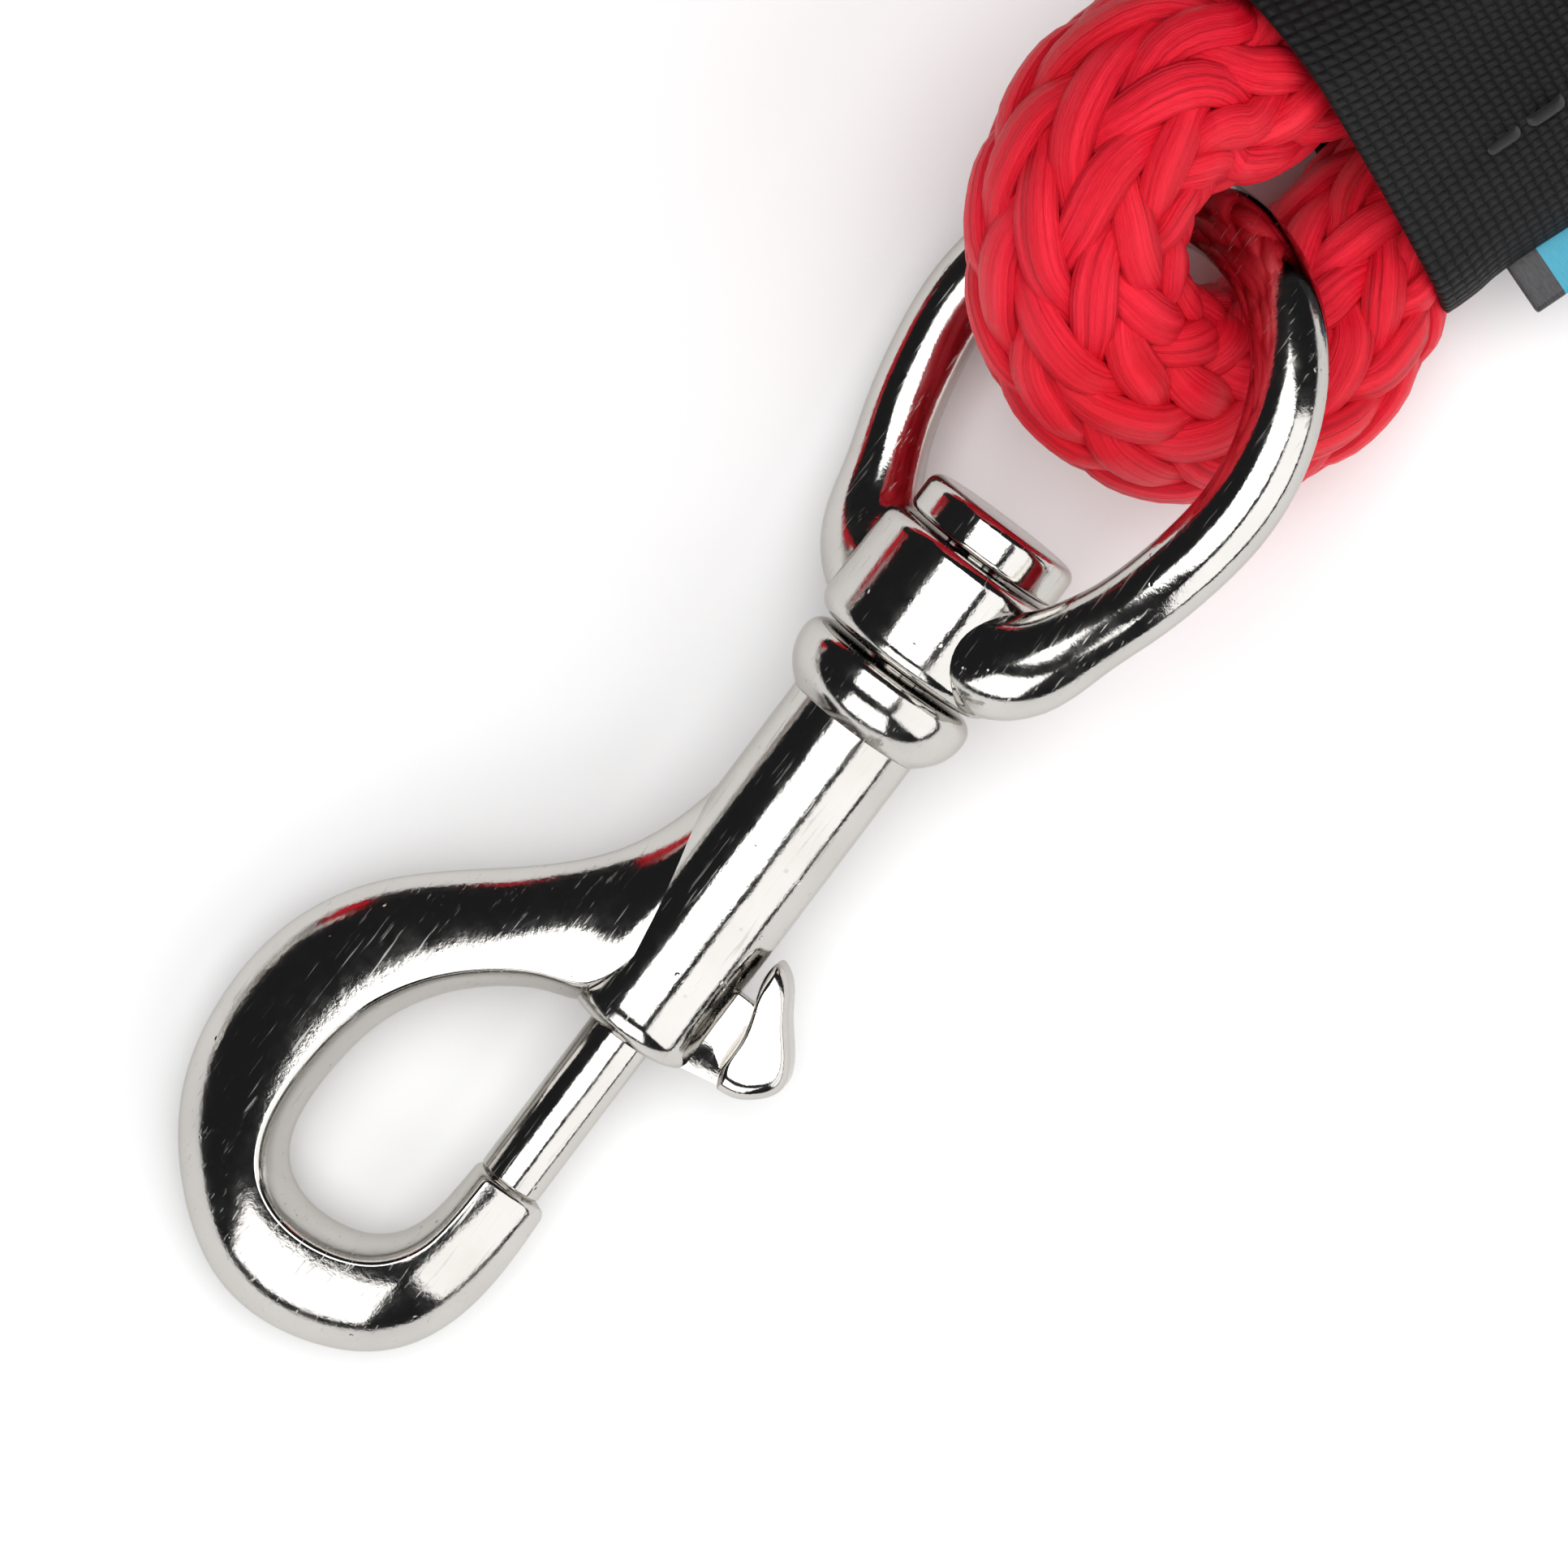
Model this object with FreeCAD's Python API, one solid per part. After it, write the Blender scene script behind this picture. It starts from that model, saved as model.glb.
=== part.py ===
import FreeCAD, Part
import math
import os

from FreeCAD import Rotation, Vector

# A barrier rope: a braided rope with an eye at each end, each eye closed by a sewn webbing
# sleeve and carrying a swivel snap hook. Millimetres, +Z up, the rope laid out on the floor at z = 0.
# Each end is drawn in its own plan, with the snap's axis along +X towards the rope and x = 0 where the
# hook body meets the swivel eye. The row's origin is the middle of the box round the two ends.

os.makedirs("parts", exist_ok=True)

# ---------------------------------------------------------------- driving dimensions
ROPE_D = 16.0
ROPE_R = ROPE_D / 2
PACKED_R = 7.1            # the rope squeezed inside its sleeve

BOLT_R = 2.425            # sprung bolt
BOLT_TIP_X = -45.1
BOLT_TAIL_X = -21.0
BOLT_TRAVEL = 12.8
BORE_R = 2.52             # bore of the barrel, 0.095 round the bolt
BARREL_R = 5.1
BARREL_MOUTH_X = -31.5
BORE_END_X = -3.0
COLLAR_R = 7.0
COLLAR_TOP_X = 0.8
SLOT_HALF = 1.1           # half width of the slot that the thumb lever runs in
HOOK_HALF = 4.8           # half thickness of the hook
OUTER_ROUND = 3.9
INNER_ROUND = 1.6
WEB_HALF = 0.95
KNOB_HALF = 3.1

PIN_R = 2.6               # swivel pin
PIN_HEAD_R = 6.2
PIN_HEAD_X = (10.7, 13.7)
BOSS_R = 7.2
BOSS_X = (1.2, 10.4)
BOSS_HOLE_R = 2.66        # 0.06 round the pin

RING_CENTRE_X = 24.2
RING_R = 15.25            # middle of the ring's wire
WIRE_R = 2.75
ROOT_R = 3.5              # each limb starts from the boss as a thicker knuckle
ROOT_AT = (4.8, 6.9)
RING_LEAN = 37.0          # the ring leans out of the floor's plane, degrees

SPRING_R = 1.95           # middle of the spring's wire
SPRING_WIRE_R = 0.3
SPRING_TURNS = 9

PITCH = 6.14              # the snap rises towards its swivel, degrees
ROLL = -2.5               # and rolls until the side of its hook touches the floor
TIP_X = -58.0             # where the hook's end bears on the floor
AXIS_AT_TIP_Z = 5.42      # height of the axis there

SLEEVE_MOUTH = Vector(50.4, -2.9, 0)
SLEEVE_TURN = -19.0       # heading of the sleeve in plan, degrees
SLEEVE_LENGTH = 55.0
SLEEVE_WALL = 1.4
TAIL_INSET = 3.0          # the rope's cut end stops this far inside the sleeve
SLEEVE_IN_R = 7.2
LEG_SIDE = 5.9            # the two legs lie this far each side of the sleeve's middle
LEG_LOW_Z = 8.6
LEG_HIGH_Z = 16.8
STITCH_ROW = 6.5          # each row of stitches is this far from the sleeve's middle
STITCH_FIRST = 5.8
STITCH_PITCH = 3.7
STITCH_LENGTH = 2.9
STITCH_R = 0.4
STITCH_COUNT = 13

LABEL_START = 5.0         # along the sleeve
LABEL_WIDTH = 24.0
LABEL_PROUD = 5.4
LABEL_THICK = 1.0

COIL_START_R = 94.0       # the outer turn, at the middle of the rope
COIL_PITCH = 16.5         # from one turn to the next
COIL_HALF_TURNS = 4       # half turns on the floor, each half a pitch smaller than the one before
COIL_TOP_R = 84.0
COIL_TOP_Z = 24.4
COIL_CLIMB = (            # radius and height at each corner of the last part, which lies on the others
    (61, 8), (62, 14), (64, 21), (70, 24.4), (78, 24.4), (83, 24.4), (84, 24.4), (84, 24.4),
)
COIL_CLIMB_END = 90.0     # direction from the coil's centre to its end, degrees
LEAD_A_LENGTH = 41.0      # straight from the first sleeve to the coil
LEAD_B_LENGTH = 96.6      # from the top of the coil to the second sleeve

ORIGIN = Vector(6.726, 60.947, 0)   # the row's origin in the first end's plan


# ---------------------------------------------------------------- small helpers
def along(angle):
    """Unit vector in plan at an angle in degrees."""
    return Vector(math.cos(math.radians(angle)), math.sin(math.radians(angle)), 0)


def cylinder_x(radius, start, end):
    return Part.makeCylinder(radius, end - start, Vector(start, 0, 0), Vector(1, 0, 0))


def revolve_x(outline):
    """Turns a closed outline of (x, radius) points about the X axis."""
    points = [Vector(x, r, 0) for x, r in outline]
    face = Part.Face(Part.makePolygon(points + points[:1]))
    return face.revolve(Vector(), Vector(1, 0, 0), 360)


def smooth_curve(points):
    curve = Part.BSplineCurve()
    curve.interpolate([Vector(x, y, 0) for x, y in points])
    return curve.toShape()


def slab(edges, half):
    """A flat outline in the XY plane made a plate of twice the half thickness."""
    face = Part.Face(Part.Wire(Part.__sortEdges__(edges)))
    face.translate(Vector(0, 0, -half))
    return face.extrude(Vector(0, 0, 2 * half))


def rounded_runs(points):
    """Edges of straight runs joined by tangent arcs, the arcs as large as the runs allow."""
    edges = []
    start = points[0]
    for before, here, after in zip(points, points[1:], points[2:]):
        back = before - here
        ahead = after - here
        half_turn = (math.pi - back.getAngle(ahead)) / 2
        cut = 0.45 * min(back.Length, ahead.Length)
        arc_radius = cut / math.tan(half_turn)
        arc_in = here + back.normalize() * cut
        arc_out = here + ahead.normalize() * cut
        inwards = (back + ahead).normalize()
        middle = here + inwards * (arc_radius / math.cos(half_turn) - arc_radius)
        edges.append(Part.LineSegment(start, arc_in).toShape())
        edges.append(Part.Arc(arc_in, middle, arc_out).toShape())
        start = arc_out
    edges.append(Part.LineSegment(start, points[-1]).toShape())
    return edges


def sweep(edges, start, heading, radius, name):
    """A round bar along the edges."""
    path = Part.Wire(edges)
    profile = Part.Wire(Part.makeCircle(radius, start, heading))
    solid = path.makePipeShell([profile], True, False)
    expected = math.pi * radius**2 * path.Length
    bends = [e.Curve.Radius for e in edges if e.Curve.TypeId == "Part::GeomCircle"]
    print(f"{name}: length {path.Length:.1f}, tightest bend {min(bends):.1f}, "
          f"volume over section times length {solid.Volume / expected:.4f}")
    return solid


def tube(points, radius, name):
    return sweep(rounded_runs(points), points[0], points[1] - points[0], radius, name)


# ---------------------------------------------------------------- the snap, on its own straight axis
def hook_body():
    """Hook, barrel and collar in one casting, with the bolt's bore and the lever's slot."""
    outer = smooth_curve([
        (-45.7, -3.5), (-50.5, -3.5), (-56.5, -2.6), (-61.0, 0.8), (-63.6, 8.0), (-61.6, 15.6),
        (-55.0, 22.2), (-46.0, 24.4), (-37.0, 22.7), (-28.0, 15.3), (-21.0, 8.2), (-13.0, 4.6),
    ])
    inner = smooth_curve([
        (-45.4, 2.7), (-50.5, 3.4), (-54.4, 7.6), (-53.4, 12.6), (-48.0, 14.7), (-41.0, 13.7),
        (-35.2, 9.9), (-31.9, 2.6),
    ])
    corners = [(-13.0, 4.6), (-13.0, 0.0), (-30.5, 0.0), (-31.9, 2.6)]
    straight = [
        Part.LineSegment(Vector(*a, 0), Vector(*b, 0)).toShape()
        for a, b in zip(corners, corners[1:])
    ]
    nose = Part.LineSegment(Vector(-45.4, 2.7, 0), Vector(-45.7, -3.5, 0)).toShape()
    plate = slab([outer, inner, nose] + straight, HOOK_HALF)

    def flat_edges(curve):
        near = curve.valueAt(curve.FirstParameter + 0.5 * (curve.LastParameter - curve.FirstParameter))
        return [
            e for e in plate.Edges
            if abs(e.Length - curve.Length) < 0.01
            and min(abs(e.BoundBox.ZMin - z) for z in (-HOOK_HALF, HOOK_HALF)) < 1e-6
            and e.distToShape(Part.Vertex(near + Vector(0, 0, e.BoundBox.ZMin)))[0] < 0.01
        ]

    plate = plate.makeFillet(OUTER_ROUND, flat_edges(outer))
    plate = plate.makeFillet(INNER_ROUND, flat_edges(inner))
    barrel = revolve_x([
        (BARREL_MOUTH_X, 0), (BARREL_MOUTH_X, 4.2), (-30.9, 4.9), (-30.0, BARREL_R), (-4.0, BARREL_R),
        (-3.6, 5.3), (-2.4, 6.3), (-1.2, 6.9), (-0.5, COLLAR_R), (0.2, 6.7), (COLLAR_TOP_X, 6.0),
        (COLLAR_TOP_X, 0),
    ])
    body = plate.fuse(barrel).removeSplitter()
    body = body.cut(cylinder_x(BORE_R, BARREL_MOUTH_X - 2, BORE_END_X))
    body = body.cut(cylinder_x(PIN_R, BORE_END_X - 0.5, COLLAR_TOP_X + 1))
    slot_end = BOLT_TAIL_X - 3.1 + BOLT_TRAVEL + 0.2
    slot = Part.makeBox(slot_end - BARREL_MOUTH_X + 2, 8, 2 * SLOT_HALF,
                        Vector(BARREL_MOUTH_X - 2, -8, -SLOT_HALF))
    return body.cut(slot)


def bolt():
    """Sprung bolt with the web and thumb lever that stand out through the slot."""
    rod = cylinder_x(BOLT_R, BOLT_TIP_X, BOLT_TAIL_X)
    rod = rod.makeChamfer(0.3, [rod.Edges[0], rod.Edges[-1]])
    web_x = BOLT_TAIL_X - 3.1
    web = slab([e for e in Part.makePolygon([
        Vector(-31.8, -1.4, 0), Vector(-30.1, -8.2, 0), Vector(web_x, -8.2, 0),
        Vector(web_x, -1.4, 0), Vector(-31.8, -1.4, 0),
    ]).Edges], WEB_HALF)
    back = smooth_curve([(-30.3, -7.6), (-29.4, -10.2), (-27.5, -11.5), (-24.8, -10.1), (-20.5, -6.4)])
    belly = [Vector(-20.5, -6.4, 0), Vector(-21.1, -5.6, 0), Vector(-24.0, -6.3, 0), Vector(-30.3, -7.6, 0)]
    sides = [Part.LineSegment(a, b).toShape() for a, b in zip(belly, belly[1:])]
    knob = slab([back] + sides, KNOB_HALF)
    rims = [
        e for e in knob.Edges
        if abs(e.BoundBox.ZMax - e.BoundBox.ZMin) < 1e-6 and abs(e.Length - back.Length) < 0.01
    ]
    knob = knob.makeFillet(1.4, rims)
    return rod.fuse(web).fuse(knob).removeSplitter()


def bolt_spring():
    """Coil spring between the bolt's tail and the end of the bore."""
    length = BORE_END_X - BOLT_TAIL_X - 2 * SPRING_WIRE_R - 0.1
    helix = Part.makeHelix(length / SPRING_TURNS, length, SPRING_R)
    section = Part.Wire(Part.makeCircle(SPRING_WIRE_R, Vector(SPRING_R, 0, 0), Vector(0, 1, 0)))
    wire = helix.makePipeShell([section], True, True)
    wire.rotate(Vector(), Vector(0, 1, 0), 90)
    wire.translate(Vector(BOLT_TAIL_X + SPRING_WIRE_R + 0.05, 0, 0))
    return wire


def swivel_pin():
    """Headed pin, fast in the collar, on which the eye turns."""
    shank = cylinder_x(PIN_R, BORE_END_X, PIN_HEAD_X[0])
    head = cylinder_x(PIN_HEAD_R, *PIN_HEAD_X)
    head = head.makeFillet(0.7, [e for e in head.Edges if e.BoundBox.XMin > PIN_HEAD_X[1] - 0.1])
    return shank.fuse(head).removeSplitter()


def swivel_eye():
    """Boss with the pin's hole, and the round ring that the rope goes through."""
    low, high = BOSS_X
    boss = revolve_x([
        (low, 0), (low, 5.6), (low + 0.6, 6.6), (low + 2.0, BOSS_R), (high - 0.8, BOSS_R),
        (high, BOSS_R - 0.7), (high, 0),
    ])
    ring_end = Part.Arc(Vector(RING_CENTRE_X, -RING_R, 0), Vector(RING_CENTRE_X + RING_R, 0, 0),
                        Vector(RING_CENTRE_X, RING_R, 0)).toShape()
    limb_points = [(5.0, 4.4), (9.4, 10.3), (16.5, 13.9), (RING_CENTRE_X, RING_R)]
    eye = boss
    for side in (1, -1):
        curve = Part.BSplineCurve()
        curve.interpolate(Points=[Vector(x, side * y, 0) for x, y in limb_points],
                          InitialTangent=Vector(0.4, side, 0), FinalTangent=Vector(1, 0, 0),
                          Scale=True)
        start = Vector(limb_points[0][0], side * limb_points[0][1], 0)
        profile = Part.Wire(Part.makeCircle(WIRE_R, start, Vector(0.4, side, 0)))
        limb = Part.Wire(curve.toShape()).makePipeShell([profile], True, False)
        knuckle = Part.makeSphere(ROOT_R, Vector(ROOT_AT[0], side * ROOT_AT[1], 0))
        eye = eye.fuse(limb).fuse(knuckle)
    profile = Part.Wire(Part.makeCircle(WIRE_R, Vector(RING_CENTRE_X, -RING_R, 0), Vector(1, 0, 0)))
    eye = eye.fuse(Part.Wire(ring_end).makePipeShell([profile], True, False))
    eye = eye.cut(cylinder_x(BOSS_HOLE_R, low - 1, high + 12))
    return eye.removeSplitter()


def onto_floor(shape, roll):
    """Rolls a piece of the snap about its axis, pitches the axis up and sets its height."""
    placed = shape.copy()
    placed.rotate(Vector(), Vector(1, 0, 0), roll)
    placed.rotate(Vector(), Vector(0, 1, 0), -PITCH)
    placed.translate(Vector(0, 0, AXIS_AT_TIP_Z - TIP_X * math.sin(math.radians(PITCH))))
    return placed


# ---------------------------------------------------------------- the rope's eye and its sleeve
def sleeve_point(distance, side, height):
    """A point in the end's plan, from its place along and across the sleeve."""
    return (SLEEVE_MOUTH + along(SLEEVE_TURN) * distance + along(SLEEVE_TURN + 90) * side
            + Vector(0, 0, height))


def rope_eye():
    """The rope from its sleeve, under one limb of the ring, through it, over the other and back."""
    low_leg = sleeve_point(-0.6, -LEG_SIDE, LEG_LOW_Z)
    high_leg = sleeve_point(-0.6, LEG_SIDE, LEG_HIGH_Z)
    heading = along(SLEEVE_TURN)
    loop = tube([
        low_leg, low_leg - heading * 4 + Vector(0, -1.2, -0.3), Vector(35.4, -10.4, 8.1),
        Vector(27.4, -5.0, 11.2), Vector(26.7, 3.6, 18.7), Vector(33.2, 9.7, 24.4),
        Vector(42.4, 10.5, 25.0), high_leg - heading * 4 + Vector(-1.0, 1.8, 4.3), high_leg,
    ], ROPE_R, "rope eye")
    whole_sleeve = to_sleeve(sleeve_section(SLEEVE_IN_R + SLEEVE_WALL + 0.02).extrude(
        Vector(SLEEVE_LENGTH, 0, 0)))
    eye = loop.cut(whole_sleeve)
    for side, height, end in ((-LEG_SIDE, LEG_LOW_Z, SLEEVE_LENGTH),
                              (LEG_SIDE, LEG_HIGH_Z, SLEEVE_LENGTH - TAIL_INSET)):
        start = sleeve_point(-1.0, side, height)
        eye = eye.fuse(Part.makeCylinder(PACKED_R, end + 1.0, start, heading))
    return eye.removeSplitter()


def sleeve_section(radius):
    """Outline round both legs: two half circles and their tangents, square to the sleeve."""
    low = Vector(0, -LEG_SIDE, LEG_LOW_Z)
    high = Vector(0, LEG_SIDE, LEG_HIGH_Z)
    out = (high - low).normalize()
    up = Vector(0, -out.z, out.y)
    edges = [
        Part.LineSegment(low + up * radius, high + up * radius).toShape(),
        Part.Arc(high + up * radius, high + out * radius, high - up * radius).toShape(),
        Part.LineSegment(high - up * radius, low - up * radius).toShape(),
        Part.Arc(low - up * radius, low - out * radius, low + up * radius).toShape(),
    ]
    return Part.Face(Part.Wire(edges))


def to_sleeve(shape):
    """From the sleeve's own axis along +X to its place in the end's plan."""
    placed = shape.copy()
    placed.rotate(Vector(), Vector(0, 0, 1), SLEEVE_TURN)
    placed.translate(SLEEVE_MOUTH)
    return placed


def webbing_sleeve():
    outside = sleeve_section(SLEEVE_IN_R + SLEEVE_WALL).extrude(Vector(SLEEVE_LENGTH, 0, 0))
    inside = sleeve_section(SLEEVE_IN_R).extrude(Vector(SLEEVE_LENGTH, 0, 0))
    return to_sleeve(outside.cut(inside))


def sleeve_top(side):
    """Height of the sleeve's upper face at a distance from its middle."""
    radius = SLEEVE_IN_R + SLEEVE_WALL
    lean = math.atan2(LEG_HIGH_Z - LEG_LOW_Z, 2 * LEG_SIDE)
    flat_end = LEG_SIDE - radius * math.sin(lean)
    if side > flat_end:
        return LEG_HIGH_Z + math.sqrt(radius**2 - (side - LEG_SIDE)**2)
    return LEG_HIGH_Z + radius * math.cos(lean) - (flat_end - side) * math.tan(lean)


def sleeve_stitching():
    """Two rows of stitches along the sleeve's upper face."""
    stitches = []
    for side in (-STITCH_ROW, STITCH_ROW):
        lean = math.atan2(sleeve_top(side + 0.1) - sleeve_top(side - 0.1), 0.2)
        proud = STITCH_R + 0.02
        centre_side = side - proud * math.sin(lean)
        height = sleeve_top(side) + proud * math.cos(lean)
        for number in range(STITCH_COUNT):
            start = Vector(STITCH_FIRST + number * STITCH_PITCH, centre_side, height)
            stitches.append(Part.makeCylinder(STITCH_R, STITCH_LENGTH, start, Vector(1, 0, 0)))
    return to_sleeve(Part.makeCompound(stitches))


def label():
    """Folded satin tab sewn to the sleeve's low edge."""
    edge = -LEG_SIDE - SLEEVE_IN_R - SLEEVE_WALL - 0.05
    tab = Part.makeBox(LABEL_WIDTH, LABEL_PROUD, LABEL_THICK,
                       Vector(LABEL_START, edge - LABEL_PROUD, LEG_LOW_Z - LABEL_THICK / 2))
    return to_sleeve(tab)


# ---------------------------------------------------------------- the free rope
COIL_ENTRY = sleeve_point(SLEEVE_LENGTH + LEAD_A_LENGTH, -LEG_SIDE, ROPE_R)
COIL_CENTRE = COIL_ENTRY + along(SLEEVE_TURN + 90) * COIL_START_R - Vector(0, 0, ROPE_R)
COIL_END = COIL_CENTRE + Vector(0, COIL_TOP_R, COIL_TOP_Z)
FAR_LEG = COIL_END + Vector(-LEAD_B_LENGTH, 0, LEG_LOW_Z - COIL_TOP_Z)


def rope_lead_a():
    start = sleeve_point(SLEEVE_LENGTH, -LEG_SIDE, LEG_LOW_Z)
    heading = along(SLEEVE_TURN)
    return tube([start, start + heading * 12, COIL_ENTRY - heading * 8, COIL_ENTRY], ROPE_R, "lead a")


def rope_lead_b():
    return tube([
        COIL_END, COIL_END + Vector(-10, 0, 0), COIL_END + Vector(-30, 0.8, 0),
        COIL_END + Vector(-54, 0.3, -2.0), COIL_END + Vector(-76, 0, -14.0), FAR_LEG + Vector(8, 0, 0),
        FAR_LEG,
    ], ROPE_R, "lead b")


def rope_coil():
    """Two turns side by side on the floor, then the last part of the rope laid on top of them."""
    entry_angle = SLEEVE_TURN - 90
    edges = []
    for half in range(COIL_HALF_TURNS):
        radius = COIL_START_R - half * COIL_PITCH / 2
        centre = COIL_CENTRE + along(entry_angle + 180) * (half % 2 * COIL_PITCH / 2) + Vector(0, 0, ROPE_R)
        turned = entry_angle + 180 * half
        rim = [centre + along(turned + further) * radius for further in (0, 90, 180)]
        edges.append(Part.Arc(*rim).toShape())
    flat_end = rim[-1]
    step = (COIL_CLIMB_END - entry_angle) / len(COIL_CLIMB)
    corners = [
        COIL_CENTRE + along(entry_angle + (i + 0.5) * step) * (radius / math.cos(math.radians(step / 2)))
        + Vector(0, 0, height)
        for i, (radius, height) in enumerate(COIL_CLIMB)
    ]
    edges += rounded_runs([flat_end, *corners, COIL_END])
    return sweep(edges, COIL_ENTRY, along(SLEEVE_TURN), ROPE_R, "coil")


# ---------------------------------------------------------------- assembly
def far_end(shape):
    """Takes a piece from the first end's plan to the second end's place on the floor."""
    placed = shape.copy()
    near_leg = sleeve_point(SLEEVE_LENGTH, -LEG_SIDE, LEG_LOW_Z)
    placed.rotate(near_leg, Vector(0, 0, 1), -SLEEVE_TURN)
    placed.translate(FAR_LEG - near_leg)
    return placed


def save(name, shape):
    placed = shape.copy()
    placed.translate(-ORIGIN)
    placed.exportStep(f"parts/{name}.step")
    box = placed.optimalBoundingBox()
    print(f"{name}: solids {len(placed.Solids)}, valid {placed.isValid()}, volume {placed.Volume:.1f}, "
          f"x {box.XMin:.2f} {box.XMax:.2f}, y {box.YMin:.2f} {box.YMax:.2f}, z {box.ZMin:.2f} {box.ZMax:.2f}")
    return placed


def main():
    end_pieces = {
        "hook_body": onto_floor(hook_body(), ROLL),
        "bolt": onto_floor(bolt(), ROLL),
        "bolt_spring": onto_floor(bolt_spring(), ROLL),
        "swivel_pin": onto_floor(swivel_pin(), ROLL),
        "swivel_eye": onto_floor(swivel_eye(), -RING_LEAN),
        "rope_eye": rope_eye(),
        "webbing_sleeve": webbing_sleeve(),
        "sleeve_stitching": sleeve_stitching(),
    }
    fittings = []
    for name, shape in end_pieces.items():
        fittings.append(save(f"{name}_a", shape))
        fittings.append(save(f"{name}_b", far_end(shape)))
    fittings.append(save("label", label()))
    for name, shape in (("rope_lead_a", rope_lead_a()), ("rope_lead_b", rope_lead_b()),
                        ("rope_coil", rope_coil())):
        save(name, shape)
    box = Part.makeCompound(fittings).optimalBoundingBox()
    print(f"middle of the fittings' box {box.Center.x:.3f} {box.Center.y:.3f}, lowest {box.ZMin:.3f}")


main()
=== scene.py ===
import logging
import math
from dataclasses import dataclass, field
from enum import Enum
from typing import Iterable, Optional, Sequence

import bpy
import numpy as np
from mathutils import Matrix


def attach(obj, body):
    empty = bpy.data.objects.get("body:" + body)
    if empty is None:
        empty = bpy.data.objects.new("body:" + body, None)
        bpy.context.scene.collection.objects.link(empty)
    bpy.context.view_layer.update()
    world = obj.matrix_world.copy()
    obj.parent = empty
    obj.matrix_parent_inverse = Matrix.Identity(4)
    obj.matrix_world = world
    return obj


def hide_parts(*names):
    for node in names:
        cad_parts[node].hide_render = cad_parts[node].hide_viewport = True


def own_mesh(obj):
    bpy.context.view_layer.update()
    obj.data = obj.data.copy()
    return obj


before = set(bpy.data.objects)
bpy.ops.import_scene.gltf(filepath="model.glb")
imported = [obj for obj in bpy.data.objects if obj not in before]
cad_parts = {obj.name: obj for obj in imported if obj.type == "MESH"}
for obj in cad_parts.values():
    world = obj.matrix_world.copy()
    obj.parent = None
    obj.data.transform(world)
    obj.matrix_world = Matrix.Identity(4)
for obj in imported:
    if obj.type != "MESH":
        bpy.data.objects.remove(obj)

Pair = tuple[float, float]
Triple = tuple[float, float, float]
Socket = bpy.types.NodeSocket

log = logging.getLogger("barrier_rope")
MM = 0.001
ROPE_BODY = "rope"
SNAP_ROLL = -2.5  # degrees that the snap lies turned about its own axis
# Degrees of turn above which an edge stays sharp.
SOFT_CREASE = 80.0
SHARP_CREASE = 38.0
TURNED_CREASE = 40.0
WEBBING_CREASE = 35.0
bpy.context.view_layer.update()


class Slot(Enum):
    """The record's material slots."""

    CASTING = "nickel_casting"
    TURNED = "nickel_turned"
    BOLT = "nickel_bolt"
    SPRING = "spring_wire"
    BRAID = "red_braid"
    WEBBING = "black_webbing"
    THREAD = "black_thread"
    LABEL = "label_satin"


class Side(Enum):
    """The two ends of the rope."""

    NEAR = "a"
    FAR = "b"


# ---------------------------------------------------------------- curves and surfaces
def unit(vectors: np.ndarray) -> np.ndarray:
    """Vectors of length one, each divided by the root of the sum of its squares."""
    return vectors / np.linalg.norm(vectors, axis=-1, keepdims=True)


def whole_turn(count: int) -> np.ndarray:
    """Angles in radians, evenly round a circle."""
    return np.arange(count) * 2 * math.pi / count


def spread(*parts: np.ndarray) -> np.ndarray:
    """Arrays stretched to one shape, each of them one coordinate along a new last axis."""
    return np.stack(np.broadcast_arrays(*parts), axis=-1)


def smooth_step(share: np.ndarray) -> np.ndarray:
    """Three times the square less twice the cube, of a share held between nought and one."""
    held = np.clip(share, 0, 1)
    return held**2 * (3 - 2 * held)


def mound(distance: np.ndarray, reach: float, power: int = 2) -> np.ndarray:
    """One at no distance, falling as the exponential of a power of the distance in reaches."""
    return np.exp(-(distance / reach)**power)


def through(points: np.ndarray, count: int) -> np.ndarray:
    """A natural cubic spline through points, sampled evenly in chord length.

    Between two points the curve is the cubic whose second derivative runs straight from one
    point's value to the next; those values solve the tridiagonal system of equal slopes, and
    are zero at the two ends.

    Args:
        points: Points that the curve passes through, one a row.
        count: Number of samples.

    Returns:
        The samples, one a row.
    """
    gaps = np.linalg.norm(np.diff(points, axis=0), axis=1)
    knots = np.concatenate([[0.0], np.cumsum(gaps)])
    total = len(points)
    system = np.eye(total)
    inner = np.arange(1, total - 1)
    system[inner, inner - 1] = gaps[:-1]
    system[inner, inner] = 2 * (gaps[:-1] + gaps[1:])
    system[inner, inner + 1] = gaps[1:]
    right = np.zeros_like(points, dtype=float)
    right[1:-1] = 6 * np.diff(np.diff(points, axis=0) / gaps[:, None], axis=0)
    bend = np.linalg.solve(system, right)
    at = np.linspace(0, knots[-1], count)
    k = np.clip(np.searchsorted(knots, at) - 1, 0, total - 2)
    span = gaps[k][:, None]
    left = (at - knots[k])[:, None]
    rest = span - left
    return ((bend[k] * rest**3 + bend[k + 1] * left**3) / (6 * span)
            + (points[k] / span - bend[k] * span / 6) * rest
            + (points[k + 1] / span - bend[k + 1] * span / 6) * left)


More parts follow.
